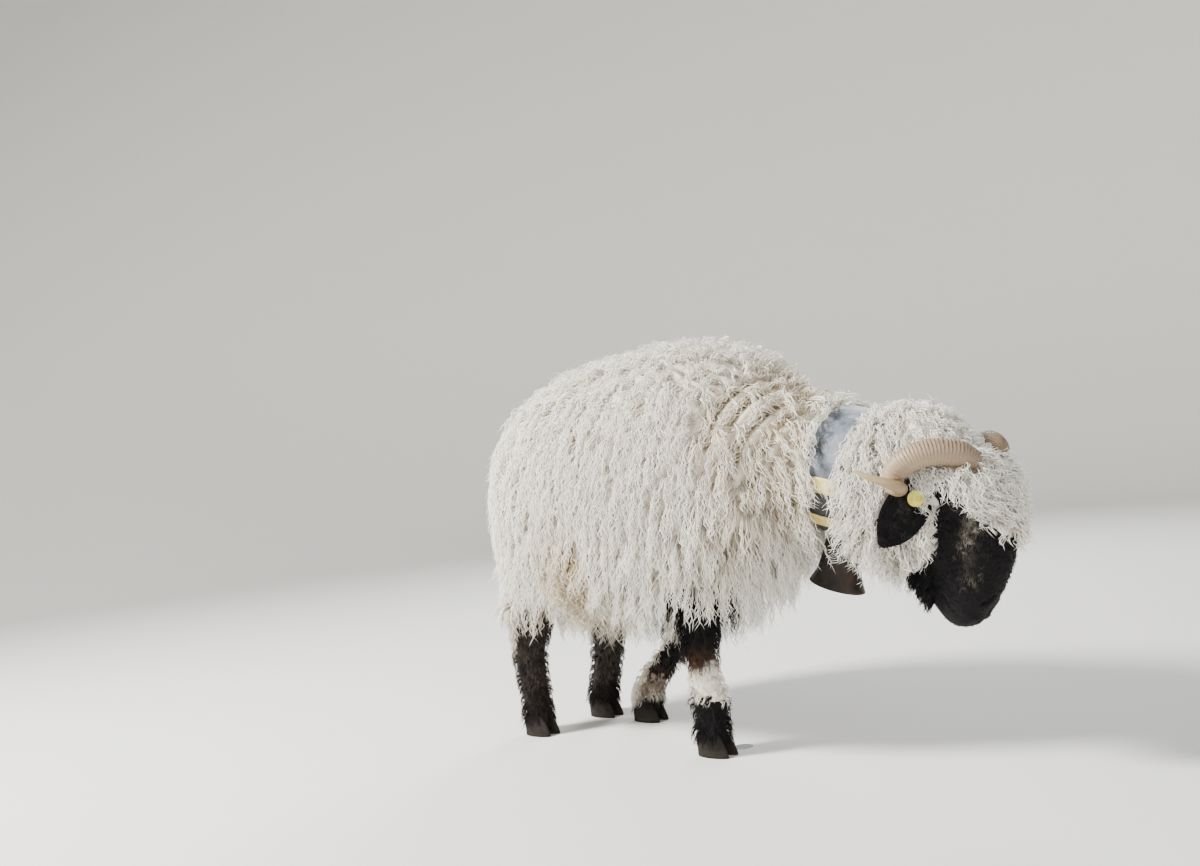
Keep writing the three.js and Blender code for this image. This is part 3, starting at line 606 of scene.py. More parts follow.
def markings(places, on_ear=0.0):
    """Four numbers a place: dark, creamy yellow with painted shade in the wrinkles, grey flecks with painted
    light and painted sheen, and rust, from 0 to 1.
    """
    x, y, z = (places / MM).T
    blotch = mottle(places, 15)
    ragged = 26 * (blotch - 0.5)
    back = np.interp(z, *FACE_BACK) + 0.6 * ragged
    top = np.interp(x, *FACE_TOP) - 0.5 * ragged
    face = smoothstep(-13, 13, x - back) * smoothstep(-12, 12, top - z)
    # Painted light: grey down the sunlit side of the face below the eye and under the forelock, over the
    # black face's fuzzy hair.
    streak = side_distance(places, GREY_LIT_LINE) / MM
    woolly_lit = np.exp(-((streak / 20) ** 2)) * smoothstep(18, 34, np.abs(y))
    woolly_lit = woolly_lit * (0.25 + 0.75 * smoothstep(0.2, 0.85, mottle(places, 17)))
    lit_under_lock = np.exp(-(((x - 712) / 22) ** 2) - ((z - 452) / 30) ** 2) * smoothstep(0.3, 0.7, blotch)
    grey_and_lit = np.maximum(woolly_lit, 0.6 * lit_under_lock) * face
    # Painted sheen: mottled grey over the black ears, standing in for their sheen.
    grey_and_lit = np.maximum(grey_and_lit, 0.2 * on_ear * mottle(places, 20))
    none = np.zeros(len(x))
    marks = np.stack([np.maximum(face, on_ear), none, grey_and_lit, none])
    for name, table in LEGS.items():
        near = (middle_gap(places, table) < 70) & (z < LEG_MARKS_TOP[name])
        marks = np.where(near, leg_marks(name, x, z + 0.9 * ragged, table), marks)
    dark, cream_and_shade, grey_and_lit, rust = marks
    body = on_body(x, z)
    # Painted shade: creamy colour in the shoulder's wrinkles and in blotches over the shoulder, partly the
    # wool's real yellow, partly shade of the folds.
    cream_and_shade = np.maximum(cream_and_shade, 0.85 * creases(places, 15) * body)
    cream_and_shade = np.maximum(cream_and_shade, 0.5 * smoothstep(0.5, 1.0, mottle(places, 60)) * smoothstep(120, 330, x) * body)
    cream_and_shade = np.maximum(cream_and_shade, 1.5 * curl_patch(x, z) * body)
    belly = smoothstep(330, 285, z) * smoothstep(-20, -110, x) * smoothstep(-330, -250, x)
    cream_and_shade = np.where(body & (z > 240), np.maximum(cream_and_shade, 0.8 * belly), cream_and_shade)
    return np.column_stack([dark, cream_and_shade, grey_and_lit, rust])


def curl_patch(x, z):
    """Where the flank's wool is yellow and curly."""
    return np.exp(-(((x - CURLS_AT[0]) / 60) ** 2) - ((z - CURLS_AT[1]) / 84) ** 2)


def leg_middle(table, heights):
    """Where the middle of a leg lies, in x and y, at each height."""
    z, x, y = zip(*sorted((row[2], row[0], row[1]) for row in table))
    return np.interp(heights, z, x), np.interp(heights, z, y)


def leg_marks(name, x, z, table):
    """Bands of colour down each leg: the same four numbers as markings."""
    ahead = x - leg_middle(table, z)[0]
    none = np.zeros(len(x))
    if name == "front_right":
        # Dark from about 210 mm up into the armpit, to 340 mm, and below about 110 mm.
        dark = np.maximum(smoothstep(196, 226, z), smoothstep(122, 100, z))
        rust = smoothstep(170, 192, z) * smoothstep(246, 216, z)
        low = smoothstep(90, 104, z) * smoothstep(134, 116, z) * smoothstep(8, -12, ahead)
        return dark, none + 0.15, none, np.maximum(rust, 0.7 * low)
    if name == "front_left":
        front = smoothstep(-18, -2, ahead)
        dark = np.maximum(front * smoothstep(96, 120, z), smoothstep(68, 52, z))
        rust = 0.8 * front * smoothstep(140, 112, z) * smoothstep(60, 80, z)
        return dark, 0.4 * (1 - dark), none, rust
    boot = smoothstep(104, 76, z)
    if name == "hind_right":
        rear = smoothstep(10, -22, ahead) * smoothstep(160, 230, z)
        high = smoothstep(262, 300, z)
        dark = np.maximum(boot, 0.85 * (1 - rear) * (1 - high))
        return dark, 0.6 * rear + 0.3 * high, 0.2 * (1 - boot), none + 0.25
    dark = np.maximum(boot, 0.85 * smoothstep(300, 262, z))
    return dark, none + 0.2, 0.28 * (1 - boot), none + 0.2


# Coat: strands
def spread_of(look):
    """Where a strand's rings lie along it: one at the root, the rest over the part that shows."""
    return np.append(0.0, np.linspace(look["bare"], 1.0, look["rings"])[:-1])


def sample_roots(verts, tris, weight, count, dice):
    """Random places on the triangles, more where the weight is higher."""
    a, b, c = verts[tris[:, 0]], verts[tris[:, 1]], verts[tris[:, 2]]
    cross = np.cross(b - a, c - a)
    area = np.linalg.norm(cross, axis=1) * 0.5 * weight
    edges = np.cumsum(area)
    pick = np.searchsorted(edges, (np.arange(count) + dice.random(count)) / count * edges[-1])
    pick = np.minimum(pick, len(tris) - 1)
    u, v = dice.random(count), dice.random(count)
    over = u + v > 1
    u[over], v[over] = 1 - u[over], 1 - v[over]
    place = a[pick] + (b - a)[pick] * u[:, None] + (c - a)[pick] * v[:, None]
    return place, unit(cross[pick])


# Where along itself a strand has risen in full, and how deep its root lies, in metres.
RISEN_AT = 0.42
ROOT_DEPTH = 0.002
# Strands hang free once the skin faces down more than this, or, on the legs, below the fetlock.
HANGS_BELOW = -0.25
LEG_HANGS_BELOW = -0.7
FETLOCK = 62


def walk(tree, roots, normals, fall, length, height, spread, on_leg):
    """Guide lines that rise from the skin, lie along it and hang free below it."""
    steps = len(spread)
    paths = np.zeros((len(roots), steps, 3))
    outs = np.zeros((len(roots), steps, 3))
    rise = np.sin(np.minimum(spread / RISEN_AT, 1.0) * math.pi / 2)
    here, out = roots.copy(), normals.copy()
    hung = np.zeros(len(roots), dtype=bool)
    paths[:, 0] = roots - normals * ROOT_DEPTH
    outs[:, 0] = normals
    for k in range(1, steps):
        step = ((spread[k] - spread[k - 1]) * length)[:, None]
        flat = fall - out * np.sum(fall * out, axis=1, keepdims=True)
        steep = np.linalg.norm(flat, axis=1) < 0.15
        flat[steep] = fall[steep]
        goal = here + unit(flat) * step
        near, turned = goal.copy(), out.copy()
        for i in np.flatnonzero(~hung):
            spot, normal, _, _ = tree.find_nearest(Vector(goal[i]))
            near[i], turned[i] = spot, normal
        below = LEG_HANGS_BELOW if on_leg else HANGS_BELOW
        hung |= (turned[:, 2] < below) & (fall[:, 2] < -0.5)
        hung |= on_leg & (goal[:, 2] < FETLOCK * MM)
        out = unit(out * 0.4 + turned * 0.6)
        lying = near + out * (height * rise[k] * relief(near))[:, None]
        swell = (height * (rise[k] - rise[k - 1]))[:, None]
        paths[:, k] = np.where(hung[:, None], paths[:, k - 1] + fall * step + out * swell, lying)
        here = np.where(hung[:, None], goal, near)
        outs[:, k] = out
    return paths, outs


def relief(places):
    """How high the coat stands at a place: low in the wrinkles and the flank's hollow."""
    x, _, z = (places / MM).T
    low = np.maximum(0.55 * creases(places, 13), 0.5 * fold_profile(places, FLANK_LINE, 26))
    return 1 - low * on_body(x, z)


def strand_frames(paths, outs):
    ahead = unit(np.gradient(paths, axis=1))
    side = unit(np.cross(ahead, outs))
    return side, unit(np.cross(side, ahead))


def children(paths, outs, look, spread, curly, dice):
    """Strands round each guide, drawn together toward the tip and waving with it."""
    count = look["strands"]
    total = len(paths) * count
    base = np.repeat(paths, count, axis=0)
    out = np.repeat(outs, count, axis=0)
    side, up = strand_frames(base, out)
    turn = dice.random(total) * 2 * math.pi
    far = np.sqrt(dice.random(total)) * look["spread"] * MM
    pull = 1 - look["clump"] * spread[None, :]
    length = np.repeat(np.linalg.norm(np.diff(paths, axis=1), axis=2).sum(1), count)
    phase = np.repeat(dice.random(len(paths)) * 2 * math.pi, count) + dice.normal(0, look["loose"], total)
    curly = np.repeat(curly, count)
    pace = length / (look["curl"] * MM) * (0.85 + 0.3 * dice.random(total))
    swing = look["wave"] * MM * (0.6 + 0.8 * dice.random(total)) * curly
    grown = np.clip(spread / 0.3, 0, 1)[None, :] * (0.5 + 0.7 * spread[None, :])
    angle = phase[:, None] + 2 * math.pi * pace[:, None] * spread[None, :]
    across = (np.cos(turn) * far)[:, None] * pull + np.cos(angle) * swing[:, None] * grown
    lift = 0.5 * (np.sin(turn) * far)[:, None] * pull + np.sin(angle) * swing[:, None] * grown * look["coil"]
    stray = (dice.random(total) < look["stray"]) * 0.35
    lift = lift + (stray * look["height"] * MM)[:, None] * spread[None, :] ** 2
    trim = 1 - 0.3 * dice.random(total)
    base = base[:, :1] + (base - base[:, :1]) * trim[:, None, None]
    base = base + side * across[:, :, None] + up * lift[:, :, None]
    return base, out


def cut_back(paths, outs, blocked):
    """Shortens strands so that they end before the first blocked ring, and drops the stubs."""
    steps = paths.shape[1]
    first = np.where(blocked.any(axis=1), blocked.argmax(axis=1), steps)
    reach = np.where(first < steps, (first - 0.8) / (steps - 1), 1.0)
    keep = first > 1
    place = np.arange(steps)[None, :] * reach[keep, None]
    low = np.minimum(place.astype(int), steps - 2)
    t = (place - low)[:, :, None]
    rows = np.arange(keep.sum())[:, None]
    kept = paths[keep]
    return kept[rows, low] * (1 - t) + kept[rows, low + 1] * t, outs[keep]


# Room left free of strands, in millimetres.
ROOM = {"floor": 6, "eye": 18, "leaf": 40, "stalk": 14, "bell": 52, "foreleg": 60}
EYE_ROOM_AT = (690, 66, 470)
BELL_LINE = [(438, 0, 392), (402, 0, 330)]
WOOL_FRONT = 771
WOOL_TOP = 668


def in_the_way(kind, points):
    """Where strands would cover the eyes, ears, horns, bell, face or the near foreleg."""
    p = points / MM
    x, y, z = p.T
    hit = z < ROOM["floor"]
    for side, sign in FLANKS:
        hit |= np.linalg.norm(p - mirrored(EYE_ROOM_AT, sign), axis=1) < ROOM["eye"]
        line = [mirrored(point, sign) for point in HORN_LINES[side]]
        last = len(line) - 1
        for k in range(1, last):
            radius = HORN["radius"] * (1 - (k + 0.5) / last) ** 0.7 + HORN["tip"]
            hit |= line_distance(points, line[k : k + 2]) / MM < radius - 1
        if kind in ("poll", "ruff", "fleece"):
            base, tip, lead = ear_frame(sign)
            middle = base + (tip - base) * 0.52
            leaf = line_distance(points, [middle, tip]) / MM < ROOM["leaf"]
            stalk = line_distance(points, [base + (tip - base) * 0.28, middle]) / MM < ROOM["stalk"]
            hit |= (leaf | stalk) & ((p - base) @ lead > -6) & (y * sign > 96)
    if kind in ("poll", "ruff"):
        hit |= (x > np.interp(z, *FACE_BACK) + 26) & (z < np.interp(x, *FACE_TOP) - 24) & (x > HEAD_FROM)
        hit |= (x > WOOL_FRONT) | (z > WOOL_TOP)
    if kind in ("fleece", "ruff"):
        hit |= line_distance(points, BELL_LINE) / MM < ROOM["bell"]
        hit |= (middle_gap(points, LEGS["front_right"]) < ROOM["foreleg"]) & (z < 346) & (y < -62)
    return hit


# Wool over the collar: how far along its axis, by what share of its size, and from how near its axis.
LIFTED = {"along": (62, 50), "share": 0.105, "least": 0.2}


def over_collar(points):
    """Lifts whatever crosses the collar onto its outer face."""
    p = points / MM
    offset = collar_distance(points)
    centre = COLLAR_CENTRE + COLLAR_AXIS * offset[:, None]
    across = p[:, 1] - centre[:, 1]
    up = (p - centre) @ COLLAR_RISE
    reach = np.sqrt((across / COLLAR["half"]) ** 2 + (up / COLLAR["tall"]) ** 2)
    near = smoothstep(*LIFTED["along"], np.abs(offset)) * (p[:, 0] > NECK_FROM)
    wanted = 1.0 + near * LIFTED["share"]
    inside = (reach < wanted) & (near > 0) & (reach > LIFTED["least"])
    grow = np.where(inside, wanted / np.maximum(reach, LIFTED["least"]), 1.0)
    return (centre + LEFT * (across * grow)[:, None] + COLLAR_RISE * (up * grow)[:, None]) * MM


# Width and height of a strand's own patch of the bake map, as shares of the map.
PATCH = (0.0012, 0.003)


def strand_mesh(name, paths, outs, radius, marks, spots, spread):
    """Three-sided tapered tubes as one mesh, each with its own patch of the bake map."""
    count, steps = paths.shape[:2]
    side, up = strand_frames(paths, outs)
    taper = (1 - spread**1.7) * (1 - STRAND_TIP) + STRAND_TIP
    reach = radius[:, None] * taper[None, :]
    turn = np.array([0.5, 7 / 6, 11 / 6]) * math.pi
    tube = (
        paths[:, :, None, :]
        + side[:, :, None, :] * (np.cos(turn)[None, None, :] * reach[:, :, None])[..., None]
        + up[:, :, None, :] * (np.sin(turn)[None, None, :] * reach[:, :, None] * STRAND_FLAT)[..., None]
    )
    last = paths[:, -1] + (paths[:, -1] - paths[:, -2]) * STRAND_END
    verts = np.concatenate([tube.reshape(count, -1, 3), last[:, None, :]], axis=1)
    each = steps * 3 + 1
    k = np.arange(steps - 1)
    quads = []
    for j in range(3):
        n = (j + 1) % 3
        quads.append(np.stack([k * 3 + j, k * 3 + n, k * 3 + 3 + n, k * 3 + 3 + j], axis=1))
    quads = np.concatenate(quads)
    end = (steps - 1) * 3
    tris = [[end + j, end + (j + 1) % 3, each - 1] for j in range(3)]
    tris = np.array(tris + [[2, 1, 0]])
    offset = np.arange(count)[:, None, None] * each
    quad_loops = (quads[None] + offset).reshape(count, -1)
    tri_loops = (tris[None] + offset).reshape(count, -1)
    loops = np.concatenate([quad_loops, tri_loops], axis=1)
    local = np.concatenate([quads.ravel(), tris.ravel()])
    starts_one = np.concatenate([np.arange(len(quads)) * 4, len(quads) * 4 + np.arange(len(tris)) * 3])
    starts = (starts_one[None] + np.arange(count)[:, None] * loops.shape[1]).ravel()
    mesh = bpy.data.meshes.new(name)
    mesh.vertices.add(count * each)
    mesh.vertices.foreach_set("co", verts.astype(np.float32).ravel())
    mesh.loops.add(loops.size)
    mesh.loops.foreach_set("vertex_index", loops.astype(np.int32).ravel())
    mesh.polygons.add(len(starts))
    mesh.polygons.foreach_set("loop_start", starts.astype(np.int32))
    mesh.update(calc_edges=True)
    mesh.shade_smooth()
    along = np.append(np.repeat(spread, 3), 1.0)
    around = np.append(np.tile(np.arange(3), steps), 1)
    patch = np.stack([(around - 1) * PATCH[0], (along - 0.5) * PATCH[1]], axis=1)
    uv = mesh.uv_layers.new(name="OFBake")
    uv.data.foreach_set("uv", (spots[:, None, :] + patch[local][None]).astype(np.float32).ravel())
    point_values(mesh, "marks", np.repeat(marks, each, axis=0), "FLOAT_COLOR")
    point_values(mesh, "along", np.tile(along, count))
    point_values(mesh, "chance", np.repeat(np.random.default_rng(count).random(count), each))
    return new_object(name, mesh)


# Strands: thickness over width, the taper from root to tip, and how far the tip runs on.
STRAND_FLAT = 0.75
STRAND_TIP = 0.16
STRAND_END = 0.8

# Coat looks: lengths and radii in millimetres; rings is how finely a strand bends.
LOOKS = {
    "fleece": dict(guides=3160, strands=5, length=96, height=34, radius=1.4, spread=10, clump=0.42,
                   curl=31, wave=3.3, coil=0.9, loose=0.5, cut=0.35, rings=8, bare=0.24, stray=0.12),
    "ruff": dict(guides=1150, strands=5, length=66, height=31, radius=1.2, spread=10, clump=0.35, curl=26,
                 wave=3.6, coil=1.0, loose=0.6, cut=0.4, rings=7, bare=0.22, stray=0.15),
    "poll": dict(guides=780, strands=5, length=44, height=20, radius=1.05, spread=9, clump=0.35, curl=20,
                 wave=3.6, coil=1.0, loose=0.6, cut=0.4, rings=8, bare=0.15, stray=0.12),
    "tail": dict(guides=110, strands=5, length=78, height=17, radius=1.4, spread=9, clump=0.4, curl=28,
                 wave=2.8, coil=0.9, loose=0.6, cut=0.35, rings=8, bare=0.22, stray=0.1),
    "leg": dict(guides=1900, strands=5, length=25, height=9, radius=0.75, spread=5, clump=0.35, curl=17,
                wave=1.4, coil=0.9, loose=0.9, cut=0.4, rings=4, bare=0.3, stray=0.12),
    "jaw": dict(guides=230, strands=5, length=25, height=15, radius=0.85, spread=7, clump=0.4, curl=22,
                wave=2.0, coil=0.9, loose=0.7, cut=0.4, rings=6, bare=0.2, stray=0.15),
    "face": dict(guides=1500, strands=3, length=10, height=2.4, radius=0.6, spread=4, clump=0.3, curl=12,
                 wave=0.8, coil=0.8, loose=1.2, cut=0.35, rings=3, bare=0.4, stray=0.05),
    "ear": dict(guides=520, strands=3, length=11, height=2.4, radius=0.6, spread=4, clump=0.3, curl=12,
                wave=0.6, coil=0.6, loose=1.0, cut=0.35, rings=3, bare=0.4, stray=0.05),
}
MOST_TRIANGLES = 185000
# Heights under which fur takes over from fleece, and half the bare width under the collar.
LEG_TOP = 284
FORELEG_TOP = 336
COLLAR_BARE = 34


def collar_distance(places):
    return (places / MM - COLLAR_CENTRE) @ COLLAR_AXIS


def regions(places, on_ear):
    """The name of the coat that grows at each place."""
    x, y, z = (places / MM).T
    names = np.full(len(places), "fleece", dtype=object)
    names[(middle_gap(places, TAIL) < 32) & (x < -398)] = "tail"
    names[z < LEG_TOP] = "leg"
    names[(z < LEG_TOP) & (z > LEG_TOP - 22) & (np.abs(y) < 60)] = "fleece"
    names[(middle_gap(places, LEGS["front_right"]) < 62) & (z < FORELEG_TOP)] = "leg"
    collar = collar_distance(places)
    names[(np.abs(collar) < COLLAR_BARE) & (x > NECK_FROM)] = "bare"
    names[(collar >= COLLAR_BARE) & (x > 480)] = "ruff"
    names[(x > 612) & (z > 440)] = "poll"
    face = (x > HEAD_FROM) & (markings(places)[:, 0] > 0.5)
    names[face] = "face"
    names[face & (x < 616) & (z > 304) & (z < 404)] = "jaw"
    names[on_ear > 0.5] = "ear"
    names[z < HOOF_HEIGHT + 2] = "bare"
    for _, sign in FLANKS:
        names[np.linalg.norm(places / MM - mirrored(EYE_AT, sign), axis=1) < ROOM["eye"]] = "bare"
    return names


def fall_of(kind, places, normals, dice):
    """Which way the coat lies."""
    count = len(places)
    x, y, z = (places / MM).T
    flank = np.sign(y)
    fall = np.tile(DOWN, (count, 1))
    wander = 0.1
    if kind == "fleece":
        top = smoothstep(0.6, 1.0, normals[:, 2])
        fall[:, 0] += -0.14 - 0.4 * top + 0.5 * smoothstep(340, 400, x)
        fall[:, 1] += 0.45 * flank * top
        wander = 0.1 + 0.25 * top[:, None]
    elif kind == "ruff":
        fall[:, 0] -= 0.45 * smoothstep(560, 500, x)
        fall[:, 1] += 0.15 * flank
        wander = 0.18
    elif kind == "poll":
        fall[:, 0] += 0.3 * smoothstep(620, 690, x) * smoothstep(520, 560, z)
        fall[:, 1] += 0.3 * flank * smoothstep(0.4, 0.9, normals[:, 2])
        wander = 0.3
    elif kind == "leg":
        fall[:, 0] -= 0.1
        fall += normals * (0.16 * smoothstep(86, 56, z))[:, None]
        wander = 0.14
    elif kind == "jaw":
        fall[:, 0] += 0.1
        fall[:, 1] += 0.2 * flank
        wander = 0.2
    elif kind == "face":
        fall[:, 0] -= 0.2
        fall[:, 1] += 0.1 * flank
    elif kind == "ear":
        along = unit(np.array(EAR["tip"]) - np.array(EAR["base"]))
        fall = np.column_stack([np.full(count, along[0]), along[1] * flank, np.full(count, along[2])])
    return unit(fall + dice.normal(0, 1, (count, 3)) * wander)


def sizes_of(kind, look, places, normals, dice):
    """Length and lift of each guide."""
    x, y, z = (places / MM).T
    count = len(places)
    length = look["length"] * (1 - look["cut"] * dice.random(count))
    height = look["height"] * (0.7 + 0.4 * dice.random(count))
    if kind == "fleece":
        back = smoothstep(0.45, 0.95, normals[:, 2])
        rump = smoothstep(-250, -420, x)
        length = length * (1 - 0.42 * back) * (1 - 0.3 * rump)
        under = smoothstep(-0.3, -0.9, normals[:, 2])
        height = height * (1 - 0.25 * under) * (1 + 0.2 * smoothstep(330, 400, x))
        room = np.maximum(z - 262, 0) * 1.1 + 34 + 16 * dice.random(count)
        belly = smoothstep(-110, -150, x) * smoothstep(-260, -210, x)
        length = np.minimum(length, room + 22 * belly)
        length = length * (1 - 0.2 * creases(places, 26))
    if kind in ("ruff", "poll"):
        cheek = smoothstep(560, 600, x) * smoothstep(500, 470, z)
        length = length * (1 - 0.45 * cheek)
        height = height * (1 - 0.5 * cheek)
    if kind == "ruff":
        top = smoothstep(0.3, 0.95, normals[:, 2])
        length = length * (1 - 0.3 * top)
        height = height * (1 - 0.55 * smoothstep(545, 605, x) * smoothstep(560, 600, z))
    if kind == "poll":
        front = smoothstep(690, 735, x)
        crown = smoothstep(542, 562, z)
        length = length * (1 - 0.3 * crown) * (1 + 0.35 * front)
        height = height * (1 - 0.6 * crown)
        at_horn = np.exp(-(((x - 714) / 22) ** 2) - ((np.abs(y) - 40) / 26) ** 2 - ((z - 552) / 24) ** 2)
        height = height * (1 + 1.1 * at_horn)
        length = length * (1 + 0.3 * at_horn)
    if kind == "leg":
        shaggy = (x > 60) & (y < 0) & (z > 205)
        length = np.where(shaggy, length * 1.7, length)
        height = np.where(shaggy, height * 1.4, height)
        cannon = (x > 60) & (y < 0) & (z < 205) & (z > 105)
        height = np.where(cannon, height * (0.8 + 0.7 * smoothstep(190, 120, z)), height)
        length = length * (1 + 0.35 * smoothstep(100, 60, z) + 0.5 * smoothstep(220, 280, z))
        length = np.minimum(length, np.maximum(z - 9, 12) * 1.02)
        height = height * (1 + 0.4 * smoothstep(80, 55, z))
    if kind == "face":
        woolly_lit = markings(places)[:, 2]
        length = length * (0.45 + 0.55 * smoothstep(270, 380, z)) * (1 + 1.1 * woolly_lit)
        height = height * (0.4 + 0.6 * smoothstep(270, 380, z)) * (1 + 1.6 * woolly_lit)
    return length * MM, height * MM


def curls_of(kind, places):
    """How much more than usual each guide's strands curl."""
    x, _, z = (places / MM).T
    if kind == "poll":
        return 1 + 0.9 * smoothstep(690, 735, x)
    if kind == "fleece":
        return 1 + 1.3 * curl_patch(x, z)
    return np.ones(len(places))


def bake_spots(places, kind):
    """Each root's place on a roll-out of the skin's own shape, kept inside the map."""
    x, y, z = (places / MM).T
    if kind in ("fleece", "tail", "ruff"):
        middle = np.where(x < BODY_TO, 540, 515)
        u, v = x, np.arctan2(z - middle, y)
    elif kind in ("poll", "face", "jaw"):
        u, v = z, np.arctan2(y, x - 640)
    elif kind == "ear":
        u, v = z + 200 * (y > 0), x
    else:
        leg = np.zeros(len(places))
        turn = np.zeros(len(places))
        gap = np.full(len(places), 1e9)
        for number, table in enumerate(LEGS.values()):
            middle = leg_middle(table, z)
            dx, dy = x - middle[0], y - middle[1]
            closer = np.hypot(dx, dy) < gap
            gap = np.where(closer, np.hypot(dx, dy), gap)
            leg = np.where(closer, number, leg)
            turn = np.where(closer, np.arctan2(dy, dx), turn)
        u, v = z, turn + leg * 7
    return 0.01 + 0.98 * np.column_stack([spread_out(u), spread_out(v)])


def spread_out(values):
    low, high = values.min(), values.max()
    return (values - low) / max(high - low, LEAST)


def grow_coat(skin):
    verts, _ = read_mesh(skin.data)
    skin.data.calc_loop_triangles()
    tris = np.empty(len(skin.data.loop_triangles) * 3, dtype=np.int64)
    skin.data.loop_triangles.foreach_get("vertices", tris)
    tris = tris.reshape(-1, 3)
    tree = BVHTree.FromPolygons([tuple(v) for v in verts], [tuple(t) for t in tris])
    names = regions(verts[tris].mean(axis=1), ear_flags(skin)[tris].mean(axis=1))
    pieces = []
    for number, (kind, look) in enumerate(LOOKS.items()):
        dice = np.random.default_rng(900 + number)
        own = tris[names == kind]
        count = int(look["guides"] * (1.0))
        roots, normals = sample_roots(verts, own, growth(kind, verts[own].mean(axis=1)), count, dice)
        fall = fall_of(kind, roots, normals, dice)
        length, height = sizes_of(kind, look, roots, normals, dice)
        spread = spread_of(look)
        paths, outs = walk(tree, roots, normals, fall, length, height, spread, kind == "leg")
        paths, outs = children(paths, outs, look, spread, curls_of(kind, roots), dice)
        steps = len(spread)
        if kind in ("fleece", "ruff"):
            paths = over_collar(paths.reshape(-1, 3)).reshape(-1, steps, 3)
        blocked = in_the_way(kind, paths.reshape(-1, 3)).reshape(-1, steps)
        blocked[:, 0] = False
        paths, outs = cut_back(paths, outs, blocked)
        marks = markings(paths[:, 0], 1.0 if kind == "ear" else 0.0)
        radius = look["radius"] * MM * (0.75 + 0.5 * dice.random(len(paths)))
        each = (steps - 1) * 6 + 4
        groups = math.ceil(len(paths) * each / MOST_TRIANGLES)
        for part, chosen in enumerate(np.array_split(np.argsort(paths[:, 0, 0], kind="stable"), groups)):
            piece = strand_mesh(
                "coat_%s_%d" % (kind, part),
                paths[chosen],
                outs[chosen],
                radius[chosen],
                marks[chosen],
                bake_spots(paths[chosen, 0], kind),
                spread,
            )
            pieces.append((piece, kind))
    return pieces


def growth(kind, places):
    """How densely strands stand: thinner under the belly, thicker round the feet and on the near side."""
    _, y, z = (places / MM).T
    weight = np.ones(len(places))
    if kind == "fleece":
        weight = np.where((z < 330) & (np.abs(y) < 130), 0.55, weight)
        weight = np.where(y < 0, weight * 1.15, weight)
    if kind == "leg":
        weight = np.where(z < 76, 1.9, weight)
    return weight


# Materials
def new_material(name):
    made = bpy.data.materials.new(name)
    made.use_nodes = True
    tree = made.node_tree
    return made, tree, tree.nodes["Principled BSDF"]


def connect(tree, socket, value):
    """Links another node's output to a socket, or sets the socket's own value."""
    if isinstance(value, bpy.types.NodeSocket):
        tree.links.new(value, socket)
    else:
        socket.default_value = value


def add(tree, kind, inputs=None, **settings):
    node = tree.nodes.new(kind)
    for key, value in settings.items():
        setattr(node, key, value)
    for key, value in (inputs or {}).items():
        connect(tree, node.inputs[key], value)
    return node


def object_place(tree):
    return add(tree, "ShaderNodeTexCoord").outputs["Object"]


def attribute(tree, name, output="Fac"):
    return add(tree, "ShaderNodeAttribute", attribute_name=name).outputs[output]


def rgb(r, g, b):
    return (r, g, b, 1.0)


def mix(tree, factor, first, second, blend="MIX"):
    inputs = {0: factor, 6: first, 7: second}
    return add(tree, "ShaderNodeMix", inputs, data_type="RGBA", blend_type=blend).outputs[2]


def noise(tree, scale, detail=3.0, roughness=0.5, stretch=None):
    place = object_place(tree)
    if stretch:
        place = add(tree, "ShaderNodeMapping", {"Vector": place, "Scale": stretch}).outputs[0]
    inputs = {"Vector": place, "Scale": scale, "Detail": detail, "Roughness": roughness}
    return add(tree, "ShaderNodeTexNoise", inputs).outputs["Fac"]


def ramp(tree, value, stops):
    node = add(tree, "ShaderNodeValToRGB", {"Fac": value})
    while len(node.color_ramp.elements) < len(stops):
        node.color_ramp.elements.new(0.5)
    for element, (place, colour) in zip(node.color_ramp.elements, stops):
        element.position = place
        element.color = colour
    return node.outputs["Color"]


def between(tree, value, low, high):
    return add(tree, "ShaderNodeMapRange", {"Value": value, "From Min": low, "From Max": high}).outputs[0]


def maths(tree, operation, *values):
    return add(tree, "ShaderNodeMath", dict(enumerate(values)), operation=operation).outputs[0]


def finish_material(tree, shader, colour, roughness, bump_value=None, strength=0.3, distance=0.001):
    connect(tree, shader.inputs["Base Color"], colour)
    connect(tree, shader.inputs["Roughness"], roughness)
    if bump_value is not None:
        inputs = {"Height": bump_value, "Strength": strength, "Distance": distance}
        connect(tree, shader.inputs["Normal"], add(tree, "ShaderNodeBump", inputs).outputs[0])


WHITE_WOOL = rgb(0.95, 0.92, 0.85)
# Tan of the yellow wool, darkened to its look in shade, so partly painted shade.
CREAM_AND_SHADE_WOOL = rgb(0.62, 0.48, 0.28)
DULL_WOOL = rgb(0.74, 0.68, 0.57)
BLACK_WOOL = rgb(0.0055, 0.0048, 0.0055)
# Grey of the legs' hair, also used as painted light on the cheek and painted sheen on the ears.
GREY_AND_LIT_WOOL = rgb(0.34, 0.30, 0.25)
RUST_WOOL = rgb(0.050, 0.024, 0.014)
ROOT_SHADE = rgb(0.42, 0.36, 0.27)


